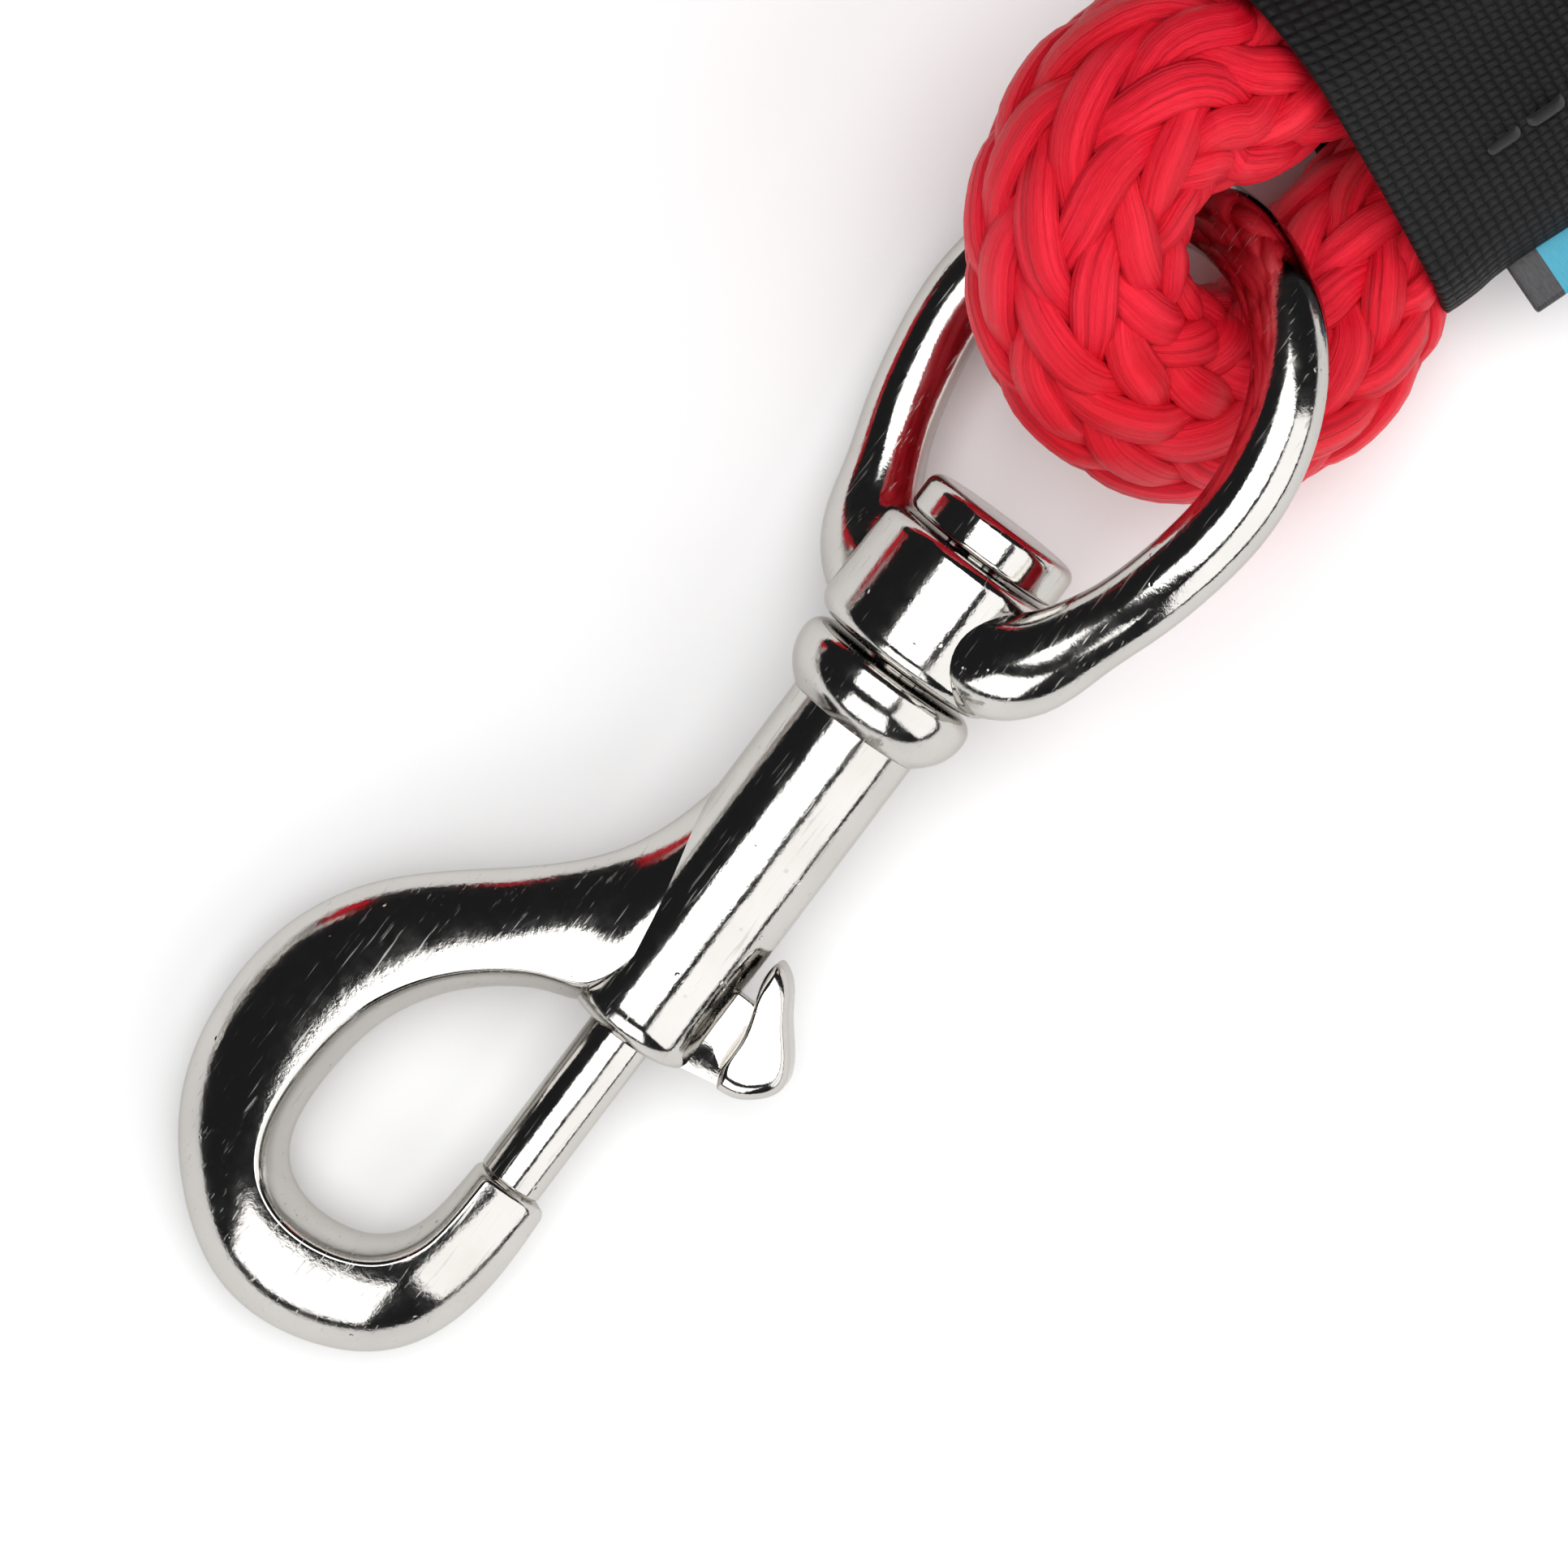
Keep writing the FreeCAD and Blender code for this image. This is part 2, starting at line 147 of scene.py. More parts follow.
def loop_weights(controls: int, count: int) -> np.ndarray:
    """Weights of a closed uniform cubic B-spline: a row of four cubic blends for each sample.

    Args:
        controls: Number of control points in the loop.
        count: Number of samples round it.

    Returns:
        A (count, controls) matrix that turns control points into points of the loop.
    """
    at = np.arange(count) * controls / count
    start = np.floor(at).astype(int)
    f = at - start
    blends = np.stack([(1 - f)**3, 3 * f**3 - 6 * f**2 + 4,
                       -3 * f**3 + 3 * f**2 + 3 * f + 1, f**3]) / 6
    weights = np.zeros((count, controls))
    for offset, blend in zip((-1, 0, 1, 2), blends):
        np.add.at(weights, (np.arange(count), (start + offset) % controls), blend)
    return weights


def rounded(corners: Sequence[Triple], closed: bool = True, steps: int = 6) -> np.ndarray:
    """An outline whose corners are circular arcs.

    Each arc is the rational quadratic from one tangent point to the other, weighted at the
    corner by the cosine of half the turn, which makes it exactly round.

    Args:
        corners: (x, y, radius) of each corner.
        closed: Whether the last corner joins the first. An open outline keeps its two ends.
        steps: Points in each arc.

    Returns:
        Points of the outline, one a row.
    """
    data = np.array(corners, float)
    points, radius = data[:, :2], data[:, 2:]
    back = unit(np.roll(points, 1, axis=0) - points)
    ahead = unit(np.roll(points, -1, axis=0) - points)
    half_turn = (math.pi - np.arccos(np.clip((back * ahead).sum(1, keepdims=True), -1, 1))) / 2
    cut = radius * np.tan(half_turn)
    t = np.linspace(0, 1, steps)[None, :, None]
    weight = np.cos(half_turn)[:, None, :]
    start, middle, end = (line[:, None] for line in (points + back * cut, points, points + ahead * cut))
    top = (1 - t)**2 * start + 2 * weight * t * (1 - t) * middle + t**2 * end
    arcs = top / ((1 - t)**2 + 2 * weight * t * (1 - t) + t**2)
    if closed:
        return arcs.reshape(-1, 2)
    return np.concatenate([points[:1], arcs[1:-1].reshape(-1, 2), points[-1:]])


def frames(path: np.ndarray) -> tuple[np.ndarray, np.ndarray]:
    """Upward and sideways directions along a path that is nowhere vertical.

    The upward one is the vertical less its part along the tangent, and the sideways one is the
    tangent crossed with it.
    """
    tangent = unit(np.gradient(path, axis=0))
    vertical = np.array([0.0, 0.0, 1.0])
    up = unit(vertical - (tangent @ vertical)[:, None] * tangent)
    return up, np.cross(tangent, up)


def evenly(path: np.ndarray, step: float) -> tuple[np.ndarray, np.ndarray]:
    """The path's points at even steps of its length, and the length at each."""
    run = np.concatenate([[0.0], np.cumsum(np.linalg.norm(np.diff(path, axis=0), axis=1))])
    at = np.linspace(0, run[-1], int(round(run[-1] / step)) + 1)
    return np.stack([np.interp(at, run, path[:, axis]) for axis in range(3)], axis=1), at


def linked(name: str, data: bpy.types.ID) -> bpy.types.Object:
    """A new object for some data, in the scene."""
    made = bpy.data.objects.new(name, data)
    bpy.context.scene.collection.objects.link(made)
    return made


def spline_path(name: str, route: np.ndarray) -> np.ndarray:
    """Points along the smooth line that a rope follows, read from its NURBS spline.

    Args:
        name: Name for the spline while it exists.
        route: Control points in metres, one a row.

    Returns:
        Points of the line in metres, close together.
    """
    curve = bpy.data.curves.new(name, "CURVE")
    curve.dimensions = "3D"
    curve.resolution_u = 48
    spline = curve.splines.new("NURBS")
    spline.points.add(len(route) - 1)
    spline.points.foreach_set("co", np.hstack([route, np.ones((len(route), 1))]).ravel())
    spline.order_u = 3
    spline.use_endpoint_u = True
    holder = linked(name, curve)
    line = bpy.data.meshes.new_from_object(holder)
    points = np.empty(len(line.vertices) * 3)
    line.vertices.foreach_get("co", points)
    bpy.data.objects.remove(holder)
    bpy.data.meshes.remove(line)
    bpy.data.curves.remove(curve)
    return points.reshape(-1, 3)


@dataclass
class Shape:
    """Surface patches gathered into one mesh, in millimetres."""

    points: list[np.ndarray] = field(default_factory=list)
    quads: list[np.ndarray] = field(default_factory=list)
    fans: list[np.ndarray] = field(default_factory=list)
    quad_uvs: list[np.ndarray] = field(default_factory=list)
    fan_uvs: list[np.ndarray] = field(default_factory=list)
    count: int = 0

    def add(self, grid: np.ndarray, uv: Optional[np.ndarray] = None, ring: bool = False) -> "Shape":
        """Adds closed tubes of points.

        A tube is a grid: rows along it, columns round it, the last column joined to the first. Its
        ends are closed by fans to the middle of the row, or its last row is joined to its first.
        It is turned outside out where the sum of its signed tetrahedra is negative.

        Args:
            grid: Points, (tubes, rows, columns, 3) or (rows, columns, 3), in millimetres.
            uv: Surface coordinates, (rows, columns + 1, 2), the same for each tube.
            ring: Whether the rows close on themselves.

        Returns:
            This shape.
        """
        grid = grid.reshape(-1, *grid.shape[-3:])
        tubes, rows, columns = grid.shape[:3]
        if uv is None:
            uv = spread(np.arange(rows)[:, None] / rows, np.arange(columns + 1) / columns)
        uv = np.broadcast_to(uv, (tubes, *uv.shape[-3:]))
        spans = rows if ring else rows - 1
        r, c = np.meshgrid(np.arange(spans), np.arange(columns), indexing="ij")
        r, c = r.ravel(), c.ravel()
        after_r, after_c = (r + 1) % rows, (c + 1) % columns
        base = self.count + np.arange(tubes)[:, None, None] * rows * columns
        quads = np.stack([r * columns + c, r * columns + after_c, after_r * columns + after_c,
                          after_r * columns + c], axis=1)[None] + base
        quad_uv = np.stack([uv[:, r, c], uv[:, r, c + 1], uv[:, after_r, c + 1], uv[:, after_r, c]],
                           axis=2)
        flat = grid.reshape(tubes * rows * columns, 3)
        fans = np.zeros((tubes, 0, 3), int)
        fan_uv = np.zeros((tubes, 0, 3, 2))
        if not ring:
            middles = grid[:, [0, -1]].mean(axis=2)
            first_middle = self.count + tubes * rows * columns + 2 * np.arange(tubes)[:, None]
            col = np.arange(columns)
            near = base[:, :, 0] + col
            far = base[:, :, 0] + (rows - 1) * columns + col
            fans = np.concatenate([spread(first_middle, np.roll(near, -1, 1), near),
                                   spread(first_middle + 1, far, np.roll(far, -1, 1))], axis=1)
            end_uv = np.concatenate([uv[:, 0, :-1], uv[:, -1, :-1]], axis=1)
            fan_uv = np.repeat(end_uv[:, :, None], 3, axis=2)
            flat = np.concatenate([flat, middles.reshape(-1, 3)])
        triangles = np.concatenate([quads[0][:, :3], quads[0][:, [0, 2, 3]], fans[0]])
        first, second, third = np.moveaxis(flat[triangles - self.count], 1, 0)
        turn = slice(None, None, 1 if (first * np.cross(second, third)).sum() > 0 else -1)
        self.points.append(flat)
        self.quads.append(quads.reshape(-1, 4)[:, turn])
        self.quad_uvs.append(quad_uv.reshape(-1, 4, 2)[:, turn])
        self.fans.append(fans.reshape(-1, 3)[:, turn])
        self.fan_uvs.append(fan_uv.reshape(-1, 3, 2)[:, turn])
        self.count += len(flat)
        return self

    def placed(self, placement: "Placement") -> "Shape":
        """The same shape moved to its place in the row frame."""
        self.points = [placement.apply(points) for points in self.points]
        return self

    def mesh(self, name: str, crease: float) -> bpy.types.Mesh:
        """The mesh in metres, smooth but for edges that turn more than the crease, in degrees."""
        mesh = bpy.data.meshes.new(name)
        faces = np.concatenate(self.quads).tolist() + np.concatenate(self.fans).tolist()
        mesh.from_pydata((np.concatenate(self.points) * MM).tolist(), [], faces)
        uv = np.concatenate([np.concatenate(self.quad_uvs).reshape(-1, 2),
                             np.concatenate(self.fan_uvs).reshape(-1, 2)])
        mesh.uv_layers.new(name="surface").data.foreach_set("uv", uv.ravel())
        mesh.shade_smooth()
        mesh.set_sharp_from_angle(angle=math.radians(crease))
        mesh.update()
        return mesh


def revolved(outline: np.ndarray, sides: int = 96) -> np.ndarray:
    """A lathe surface about the X axis: (x, r) becomes (x, r cos a, r sin a) for every angle a."""
    angle = whole_turn(sides)
    x, r = outline[:, :1], outline[:, 1:]
    return spread(x, r * np.cos(angle), r * np.sin(angle))


def tube(path: np.ndarray, radius: np.ndarray | float, sides: int, out: np.ndarray,
         side: np.ndarray) -> np.ndarray:
    """A round tube: at each angle, its cosine of the way out and its sine of the way to the side."""
    angle = whole_turn(sides)[None, :, None]
    reach = np.broadcast_to(np.asarray(radius, float), (len(path),))[:, None, None]
    return path[:, None] + reach * (np.cos(angle) * out[:, None] + np.sin(angle) * side[:, None])


def bar(path: np.ndarray, radius: np.ndarray | float, sides: int) -> np.ndarray:
    """A round tube along a path that is nowhere vertical."""
    return tube(path, radius, sides, *frames(path))


def facing(right: np.ndarray, up: np.ndarray, back: np.ndarray, place: Sequence[float]) -> Matrix:
    """The matrix of an object at a place, its own three axes along three unit vectors."""
    return Matrix([[*row] for row in np.vstack([np.column_stack([right, up, back, place]), [0, 0, 0, 1]])])


# ---------------------------------------------------------------- where each end lies
@dataclass(frozen=True)
class Plan:
    """Heights, headings and places of the rope's parts, in millimetres and degrees."""

    pitch: float = 6.14
    tip_x: float = -58.0
    axis_at_tip: float = 5.42
    mouth: Pair = (50.4, -2.9)
    sleeve_turn: float = -19.0
    sleeve_length: float = 55.0
    leg_side: float = 5.9
    leg_low: float = 8.6
    leg_high: float = 16.8
    rope_radius: float = 8.0
    coil_start: float = 94.0
    coil_pitch: float = 16.5
    coil_half_turns: int = 4
    coil_top: float = 84.0
    coil_top_height: float = 24.4
    climb: tuple[Pair, ...] = (
        (61, 8), (62, 14), (64, 21), (70, 24.4), (78, 24.4), (83, 24.4), (84, 24.4), (84, 24.4))
    climb_end: float = 90.0
    lead_a: float = 41.0
    lead_b: float = 96.6
    origin: Triple = (6.726, 60.947, 0.0)

    def along(self, degrees: float | np.ndarray) -> np.ndarray:
        """Unit vectors in plan at angles in degrees: cosine, sine and nought."""
        turn = np.radians(degrees)
        return np.stack([np.cos(turn), np.sin(turn), np.zeros_like(turn)], axis=-1)

    def at_sleeve(self, distance: float, side: float, height: float) -> np.ndarray:
        """A point from its place along and across the sleeve, and its height."""
        return (np.array([*self.mouth, height]) + self.along(self.sleeve_turn) * distance
                + self.along(self.sleeve_turn + 90) * side)

    @property
    def near_leg(self) -> np.ndarray:
        """Where the rope's free span leaves the first sleeve."""
        return self.at_sleeve(self.sleeve_length, -self.leg_side, self.leg_low)

    @property
    def coil_entry(self) -> np.ndarray:
        """Where the straight run from the first sleeve meets the outer turn."""
        return self.at_sleeve(self.sleeve_length + self.lead_a, -self.leg_side, self.rope_radius)

    @property
    def coil_centre(self) -> np.ndarray:
        """The coil's centre on the floor."""
        centre = self.coil_entry + self.along(self.sleeve_turn + 90) * self.coil_start
        return centre * [1, 1, 0]

    @property
    def coil_end(self) -> np.ndarray:
        """Where the rope leaves the top of the coil."""
        return self.coil_centre + [0, self.coil_top, self.coil_top_height]

    @property
    def far_leg(self) -> np.ndarray:
        """Where the rope enters the second sleeve."""
        return self.coil_end + [-self.lead_b, 0, self.leg_low - self.coil_top_height]


PLAN = Plan()


@dataclass(frozen=True)
class Placement:
    """A turn and a shift from a piece's own frame to the row frame, in millimetres."""

    turn: np.ndarray
    shift: np.ndarray

    def apply(self, points: np.ndarray) -> np.ndarray:
        """Each point turned, then shifted."""
        return points @ self.turn.T + self.shift

    def then(self, after: "Placement") -> "Placement":
        """This placement followed by another."""
        return Placement(after.turn @ self.turn, after.apply(self.shift))


def turned(axis: str, degrees: float) -> np.ndarray:
    """The matrix of a turn about a coordinate axis."""
    return np.array(Matrix.Rotation(math.radians(degrees), 3, axis))


def from_plan(side: Side) -> Placement:
    """From an end's own plan to the row frame."""
    home = Placement(np.eye(3), -np.array(PLAN.origin))
    if side is Side.NEAR:
        return home
    spin = turned("Z", -PLAN.sleeve_turn)
    return Placement(spin, PLAN.far_leg - spin @ PLAN.near_leg).then(home)


def from_snap(side: Side, roll: float) -> Placement:
    """From the snap's straight axis to the row frame: rolled, pitched up, lifted and put in place."""
    lift = PLAN.axis_at_tip - PLAN.tip_x * math.sin(math.radians(PLAN.pitch))
    tilt = turned("Y", -PLAN.pitch) @ turned("X", roll)
    return Placement(tilt, np.array([0, 0, lift])).then(from_plan(side))


def from_sleeve(side: Side) -> Placement:
    """From the sleeve's own axis along +X to the row frame."""
    laid = Placement(turned("Z", PLAN.sleeve_turn), np.array([*PLAN.mouth, 0.0]))
    return laid.then(from_plan(side))


# ---------------------------------------------------------------- finishes
USUAL: Pair = (0.3, 0.7)  # where nearly all of a noise's values lie


class Paint:
    """The nodes of one material, in front of its shader."""

    def __init__(self, name: str) -> None:
        """Starts a material with one Principled shader."""
        self.material = bpy.data.materials.new(name)
        self.material.use_nodes = True
        self.tree = self.material.node_tree
        self.shader = next(n for n in self.tree.nodes if n.type == "BSDF_PRINCIPLED")

    def node(self, kind: str, inputs: dict, **settings: object) -> bpy.types.Node:
        """Adds a node, with its settings, and a value or another node's socket for each input."""
        made = self.tree.nodes.new(kind)
        for key, value in settings.items():
            setattr(made, key, value)
        for key, value in inputs.items():
            self.feed(made.inputs[key], value)
        return made

    def feed(self, socket: Socket, value: object) -> None:
        """Gives an input a link, a value, or a colour made opaque."""
        if isinstance(value, Socket):
            self.tree.links.new(value, socket)
        elif socket.type == "RGBA":
            socket.default_value = (*value, 1.0)
        else:
            socket.default_value = value

    def surface(self, **inputs: object) -> None:
        """Sets the shader's inputs, named with underscores for spaces."""
        for key, value in inputs.items():
            self.feed(self.shader.inputs[key.replace("_", " ")], value)

    def place(self, uv: bool = False) -> Socket:
        """The piece's own coordinates, in metres, or its surface coordinates."""
        return self.node("ShaderNodeTexCoord", {}).outputs["UV" if uv else "Object"]

    def stretched(self, vector: Socket, scale: Triple,
                  turn: Triple = (0, 0, 0)) -> Socket:
        """Coordinates scaled on each axis, after a turn in radians."""
        return self.node("ShaderNodeMapping", {"Vector": vector, "Scale": scale, "Rotation": turn}).outputs[0]

    def split(self, vector: Socket, axis: str) -> Socket:
        """One coordinate of a vector."""
        return self.node("ShaderNodeSeparateXYZ", {"Vector": vector}).outputs[axis]

    def noise(self, vector: Socket, scale: float, detail: float = 3.0,
              rough: float = 0.55) -> Socket:
        """Soft random values about one half."""
        return self.node("ShaderNodeTexNoise", {"Vector": vector, "Scale": scale, "Detail": detail,
                                                "Roughness": rough}).outputs["Fac"]

    def ramp(self, value: Socket, stops: Sequence[tuple[float, Sequence[float]]]
             ) -> Socket:
        """Colours between stops of (position, colour)."""
        made = self.node("ShaderNodeValToRGB", {"Fac": value})
        elements = made.color_ramp.elements
        while len(elements) < len(stops):
            elements.new(0.5)
        for element, (position, colour) in zip(elements, stops):
            element.position = position
            element.color = (*colour, 1.0)
        return made.outputs["Color"]

    def scaled(self, value: Socket, old: Pair, new: Pair) -> Socket:
        """A value carried from one range to another and held inside it."""
        return self.node("ShaderNodeMapRange", {
            "Value": value, "From Min": old[0], "From Max": old[1], "To Min": new[0], "To Max": new[1],
        }).outputs["Result"]

    def combine(self, operation: str, first: object, second: object = 0.0) -> Socket:
        """Two values put together by a named operation."""
        made = self.node("ShaderNodeMath", {}, operation=operation)
        for index, value in enumerate((first, second)):
            self.feed(made.inputs[index], value)
        return made.outputs[0]

    def times(self, first: object, second: object) -> Socket:
        """The product of two values."""
        return self.combine("MULTIPLY", first, second)

    def blend(self, share: object, first: object, second: object, how: str = "MIX") -> Socket:
        """Two colours mixed by a share."""
        made = self.node("ShaderNodeMix", {}, data_type="RGBA", blend_type=how)
        for index, value in ((0, share), (6, first), (7, second)):
            self.feed(made.inputs[index], value)
        return made.outputs[2]

    def bump(self, height: Socket, strength: float, distance: float,
             under: Optional[Socket] = None) -> Socket:
        """A normal tilted by the slope of a height, on top of another."""
        inputs: dict = {"Height": height, "Strength": strength, "Distance": distance}
        if under is not None:
            inputs["Normal"] = under
        return self.node("ShaderNodeBump", inputs).outputs["Normal"]


@dataclass(frozen=True)
class Nickel:
    """Bright nickel plate over a casting or a turned part. Scales are in cells to the metre."""

    colour: Triple = (0.60, 0.585, 0.56)
    worn: Triple = (0.50, 0.48, 0.45)
    edge: Triple = (0.72, 0.71, 0.69)
    pit_colour: Triple = (0.22, 0.20, 0.18)
    smooth: float = 0.06
    rough: float = 0.17
    peel: float = 0.035
    peel_scale: float = 260.0
    patch_scale: float = 140.0
    fine_scale: float = 900.0
    grain_scale: float = 2600.0
    pits: float = 0.35
    pit_scale: float = 620.0
    pit_patch_scale: float = 210.0
    scratch_scale: Triple = (160.0, 4200.0, 1500.0)
    scratch_turn: Triple = (0.3, 0.2, 0.7)
    scratch_gloss: float = 0.28
    turned_lines: float = 0.0
    line_scale: Triple = (9000.0, 900.0, 900.0)

    def material(self, name: str) -> bpy.types.Material:
        """Plate with soft orange peel, pin-hole pits, hair scratches and, where turned, tool lines."""
        paint = Paint(name)
        place = paint.place()
        patches = paint.noise(place, self.patch_scale, 4.0)
        fine = paint.noise(place, self.fine_scale, 5.0, 0.6)
        hairs = paint.noise(paint.stretched(place, self.scratch_scale, self.scratch_turn), 1.0, 2.0)
        scratch = paint.scaled(hairs, (0.62, 0.72), (0.0, 1.0))
        cells = paint.node("ShaderNodeTexVoronoi",
                           {"Vector": place, "Scale": self.pit_scale, "Randomness": 1.0})
        pit = paint.scaled(cells.outputs["Distance"], (0.04, 0.13), (1.0, 0.0))
        pitted = paint.scaled(paint.noise(place, self.pit_patch_scale, 1.0), (0.52, 0.6), (0.0, 1.0))
        sparse = paint.times(pit, pitted)
        tone = paint.blend(paint.scaled(patches, (0.35, 0.75), (0.0, 0.55)), self.colour, self.worn)
        tone = paint.blend(paint.times(sparse, self.pits), tone, self.pit_colour)
        gloss = paint.scaled(paint.times(patches, fine), (0.12, 0.45), (self.smooth, self.rough))
        gloss = paint.combine("ADD", gloss, paint.times(scratch, self.scratch_gloss))
        normal = paint.bump(paint.noise(place, self.peel_scale, 2.0, 0.4), self.peel, 0.0012)
        normal = paint.bump(paint.noise(place, self.grain_scale, 3.0, 0.6), 0.10, 0.00010, normal)
        normal = paint.bump(paint.times(sparse, -1.0), 0.25, 0.00015, normal)
        if self.turned_lines:
            lines = paint.noise(paint.stretched(place, self.line_scale), 1.0, 1.0)
            normal = paint.bump(lines, self.turned_lines, 0.00006, normal)
        paint.surface(Base_Color=tone, Metallic=1.0, Roughness=gloss, Normal=normal,
                      Specular_Tint=self.edge)
        return paint.material


@dataclass(frozen=True)
class Braid:
    """Glossy multifilament yarn, its filaments running along each strand."""

    shade: Triple = (0.36, 0.001, 0.009)
    middle: Triple = (0.74, 0.006, 0.024)
    bright: Triple = (0.93, 0.020, 0.046)
    gleam: Triple = (1.0, 0.45, 0.50)
    hair_scale: Triple = (0.7, 34.0, 1.0)
    bundle_scale: Triple = (0.45, 12.0, 1.0)
    hair_share: float = 0.6

    def material(self, name: str) -> bpy.types.Material:
        """Fine lines along each strand in colour, gloss and height, with slow changes over many."""
        paint = Paint(name)
        surface = paint.place(uv=True)
        hairs = paint.noise(paint.stretched(surface, self.hair_scale), 1.0, 5.0, 0.75)
        bundles = paint.noise(paint.stretched(surface, self.bundle_scale), 1.0, 2.0)
        slow = paint.noise(paint.place(), 90.0, 2.0)
        mixed = paint.combine("ADD", paint.times(hairs, self.hair_share),
                              paint.times(bundles, 1 - self.hair_share))
        colour = paint.ramp(mixed, ((0.34, self.shade), (0.46, self.middle), (0.60, self.bright)))
        colour = paint.blend(paint.scaled(slow, (0.4, 0.7), (0.0, 0.35)), colour, self.middle, "MULTIPLY")
        normal = paint.bump(bundles, 0.45, 0.0005)
        normal = paint.bump(hairs, 0.8, 0.00030, normal)
        paint.surface(Base_Color=colour, Roughness=paint.scaled(hairs, USUAL, (0.30, 0.52)),
                      Normal=normal, Specular_IOR_Level=0.45, Specular_Tint=self.gleam)
        return paint.material


@dataclass(frozen=True)
class Webbing:
    """Coarse plain-woven webbing, its pitch in millimetres."""

    pitch: float = 0.83
    flatness: float = 0.45
    # The first colour is painted shade in the weave's hollows, the second painted highlight on its yarn
    # crowns.
    hollow: Triple = (0.002, 0.002, 0.0022)
    crown_highlight: Triple = (0.014, 0.014, 0.0155)

    def material(self, name: str) -> bpy.types.Material:
        """Yarn crowns that alternate between the two directions, cell by cell.

        The crowns' height is the size of the sine across one yarn, times a power of the other's. The
        colour follows that height: painted shade in the hollows, painted highlight on the crowns. Its
        surface coordinates are in centimetres.
        """
        paint = Paint(name)
        cells = paint.stretched(paint.place(uv=True), (10.0 / self.pitch,) * 3)
        checks = paint.node("ShaderNodeTexChecker", {"Vector": cells, "Scale": 1.0}).outputs["Fac"]
        waves = [paint.combine("SINE", paint.times(paint.split(cells, axis), math.pi))
                 for axis in ("X", "Y")]
        wide, narrow = [paint.combine("ABSOLUTE", wave) for wave in waves]
        over = paint.times(paint.combine("POWER", wide, self.flatness), narrow)
        under = paint.times(paint.combine("POWER", narrow, self.flatness), wide)
        shown_over = paint.times(over, checks)
        shown_under = paint.times(under, paint.combine("SUBTRACT", 1.0, checks))
        height = paint.combine("ADD", shown_over, shown_under)
        fuzz = paint.noise(paint.place(), 5200.0, 3.0, 0.7)
        # Painted light: the colour follows the weave's height, with random fuzz; painted shade low, painted
        # highlight high.
        weave_shading_and_fuzz = paint.times(height, paint.scaled(fuzz, USUAL, (0.55, 1.15)))
        colour = paint.ramp(weave_shading_and_fuzz, ((0.05, self.hollow), (0.9, self.crown_highlight)))
        normal = paint.bump(height, 0.9, 0.00035)
        normal = paint.bump(fuzz, 0.35, 0.00012, normal)
        paint.surface(Base_Color=colour, Roughness=paint.scaled(fuzz, USUAL, (0.52, 0.78)),
                      Normal=normal, Specular_IOR_Level=0.16, Sheen_Weight=0.02, Sheen_Roughness=0.5)
        return paint.material


@dataclass(frozen=True)
class Thread:
    """Twisted sewing thread."""

    dark: Triple = (0.003, 0.003, 0.0035)
    light: Triple = (0.055, 0.055, 0.06)
    ply_scale: Triple = (9.0, 3.0, 1.0)

    def material(self, name: str) -> bpy.types.Material:
        """Slanted plies on the thread's own surface coordinates."""
        paint = Paint(name)
        surface = paint.stretched(paint.place(uv=True), self.ply_scale)
        plies = paint.node("ShaderNodeTexWave", {"Vector": surface, "Scale": 1.0},
                           bands_direction="DIAGONAL").outputs["Fac"]
        fibre = paint.noise(paint.place(), 9000.0, 2.0)
        colour = paint.ramp(paint.times(plies, fibre), ((0.1, self.dark), (0.7, self.light)))
        paint.surface(Base_Color=colour, Roughness=paint.scaled(fibre, USUAL, (0.35, 0.6)),
                      Normal=paint.bump(plies, 0.6, 0.00015), Sheen_Weight=0.1)
        return paint.material


@dataclass(frozen=True)
class LabelSatin:
    """Black satin ribbon with one plain woven band, from one distance to another in centimetres."""

    ground: Triple = (0.006, 0.006, 0.008)
    band: Triple = (0.01, 0.32, 0.46)
    rib_light: Triple = (0.05, 0.05, 0.055)
    rib_scale: Triple = (90.0, 8.0, 1.0)
    band_from: float = 0.24
    band_to: float = 0.58

    def material(self, name: str) -> bpy.types.Material:
        """Fine ribs across the ribbon, and the band between two distances along it."""
        paint = Paint(name)
        surface = paint.place(uv=True)
        along = paint.split(surface, "X")
        inside = paint.times(paint.combine("GREATER_THAN", along, self.band_from),
                             paint.combine("LESS_THAN", along, self.band_to))
        ribs = paint.noise(paint.stretched(surface, self.rib_scale), 1.0, 3.0, 0.6)
        cloth = paint.noise(paint.place(), 3200.0, 2.0)
        colour = paint.blend(inside, self.ground, self.band)
        colour = paint.blend(paint.scaled(ribs, (0.35, 0.7), (0.0, 0.5)), colour, self.rib_light, "SCREEN")
        paint.surface(Base_Color=colour, Roughness=paint.scaled(cloth, USUAL, (0.28, 0.42)),
                      Normal=paint.bump(ribs, 0.35, 0.0001), Sheen_Weight=0.1)
        return paint.material


@dataclass(frozen=True)
class PaleFloor:
    """Plain pale sheet under the object."""

    tone: float = 0.95
    uneven: float = 0.01

    def material(self, name: str) -> bpy.types.Material:
        """Almost white, with a barely uneven gloss."""
        paint = Paint(name)
        grain = paint.noise(paint.place(), 35.0, 2.0)
        colour = paint.ramp(grain, ((0.3, (self.tone - self.uneven,) * 3),
                                    (0.7, (self.tone + self.uneven,) * 3)))
        paint.surface(Base_Color=colour, Roughness=paint.scaled(grain, USUAL, (0.55, 0.65)),
                      Specular_IOR_Level=0.25)
        return paint.material


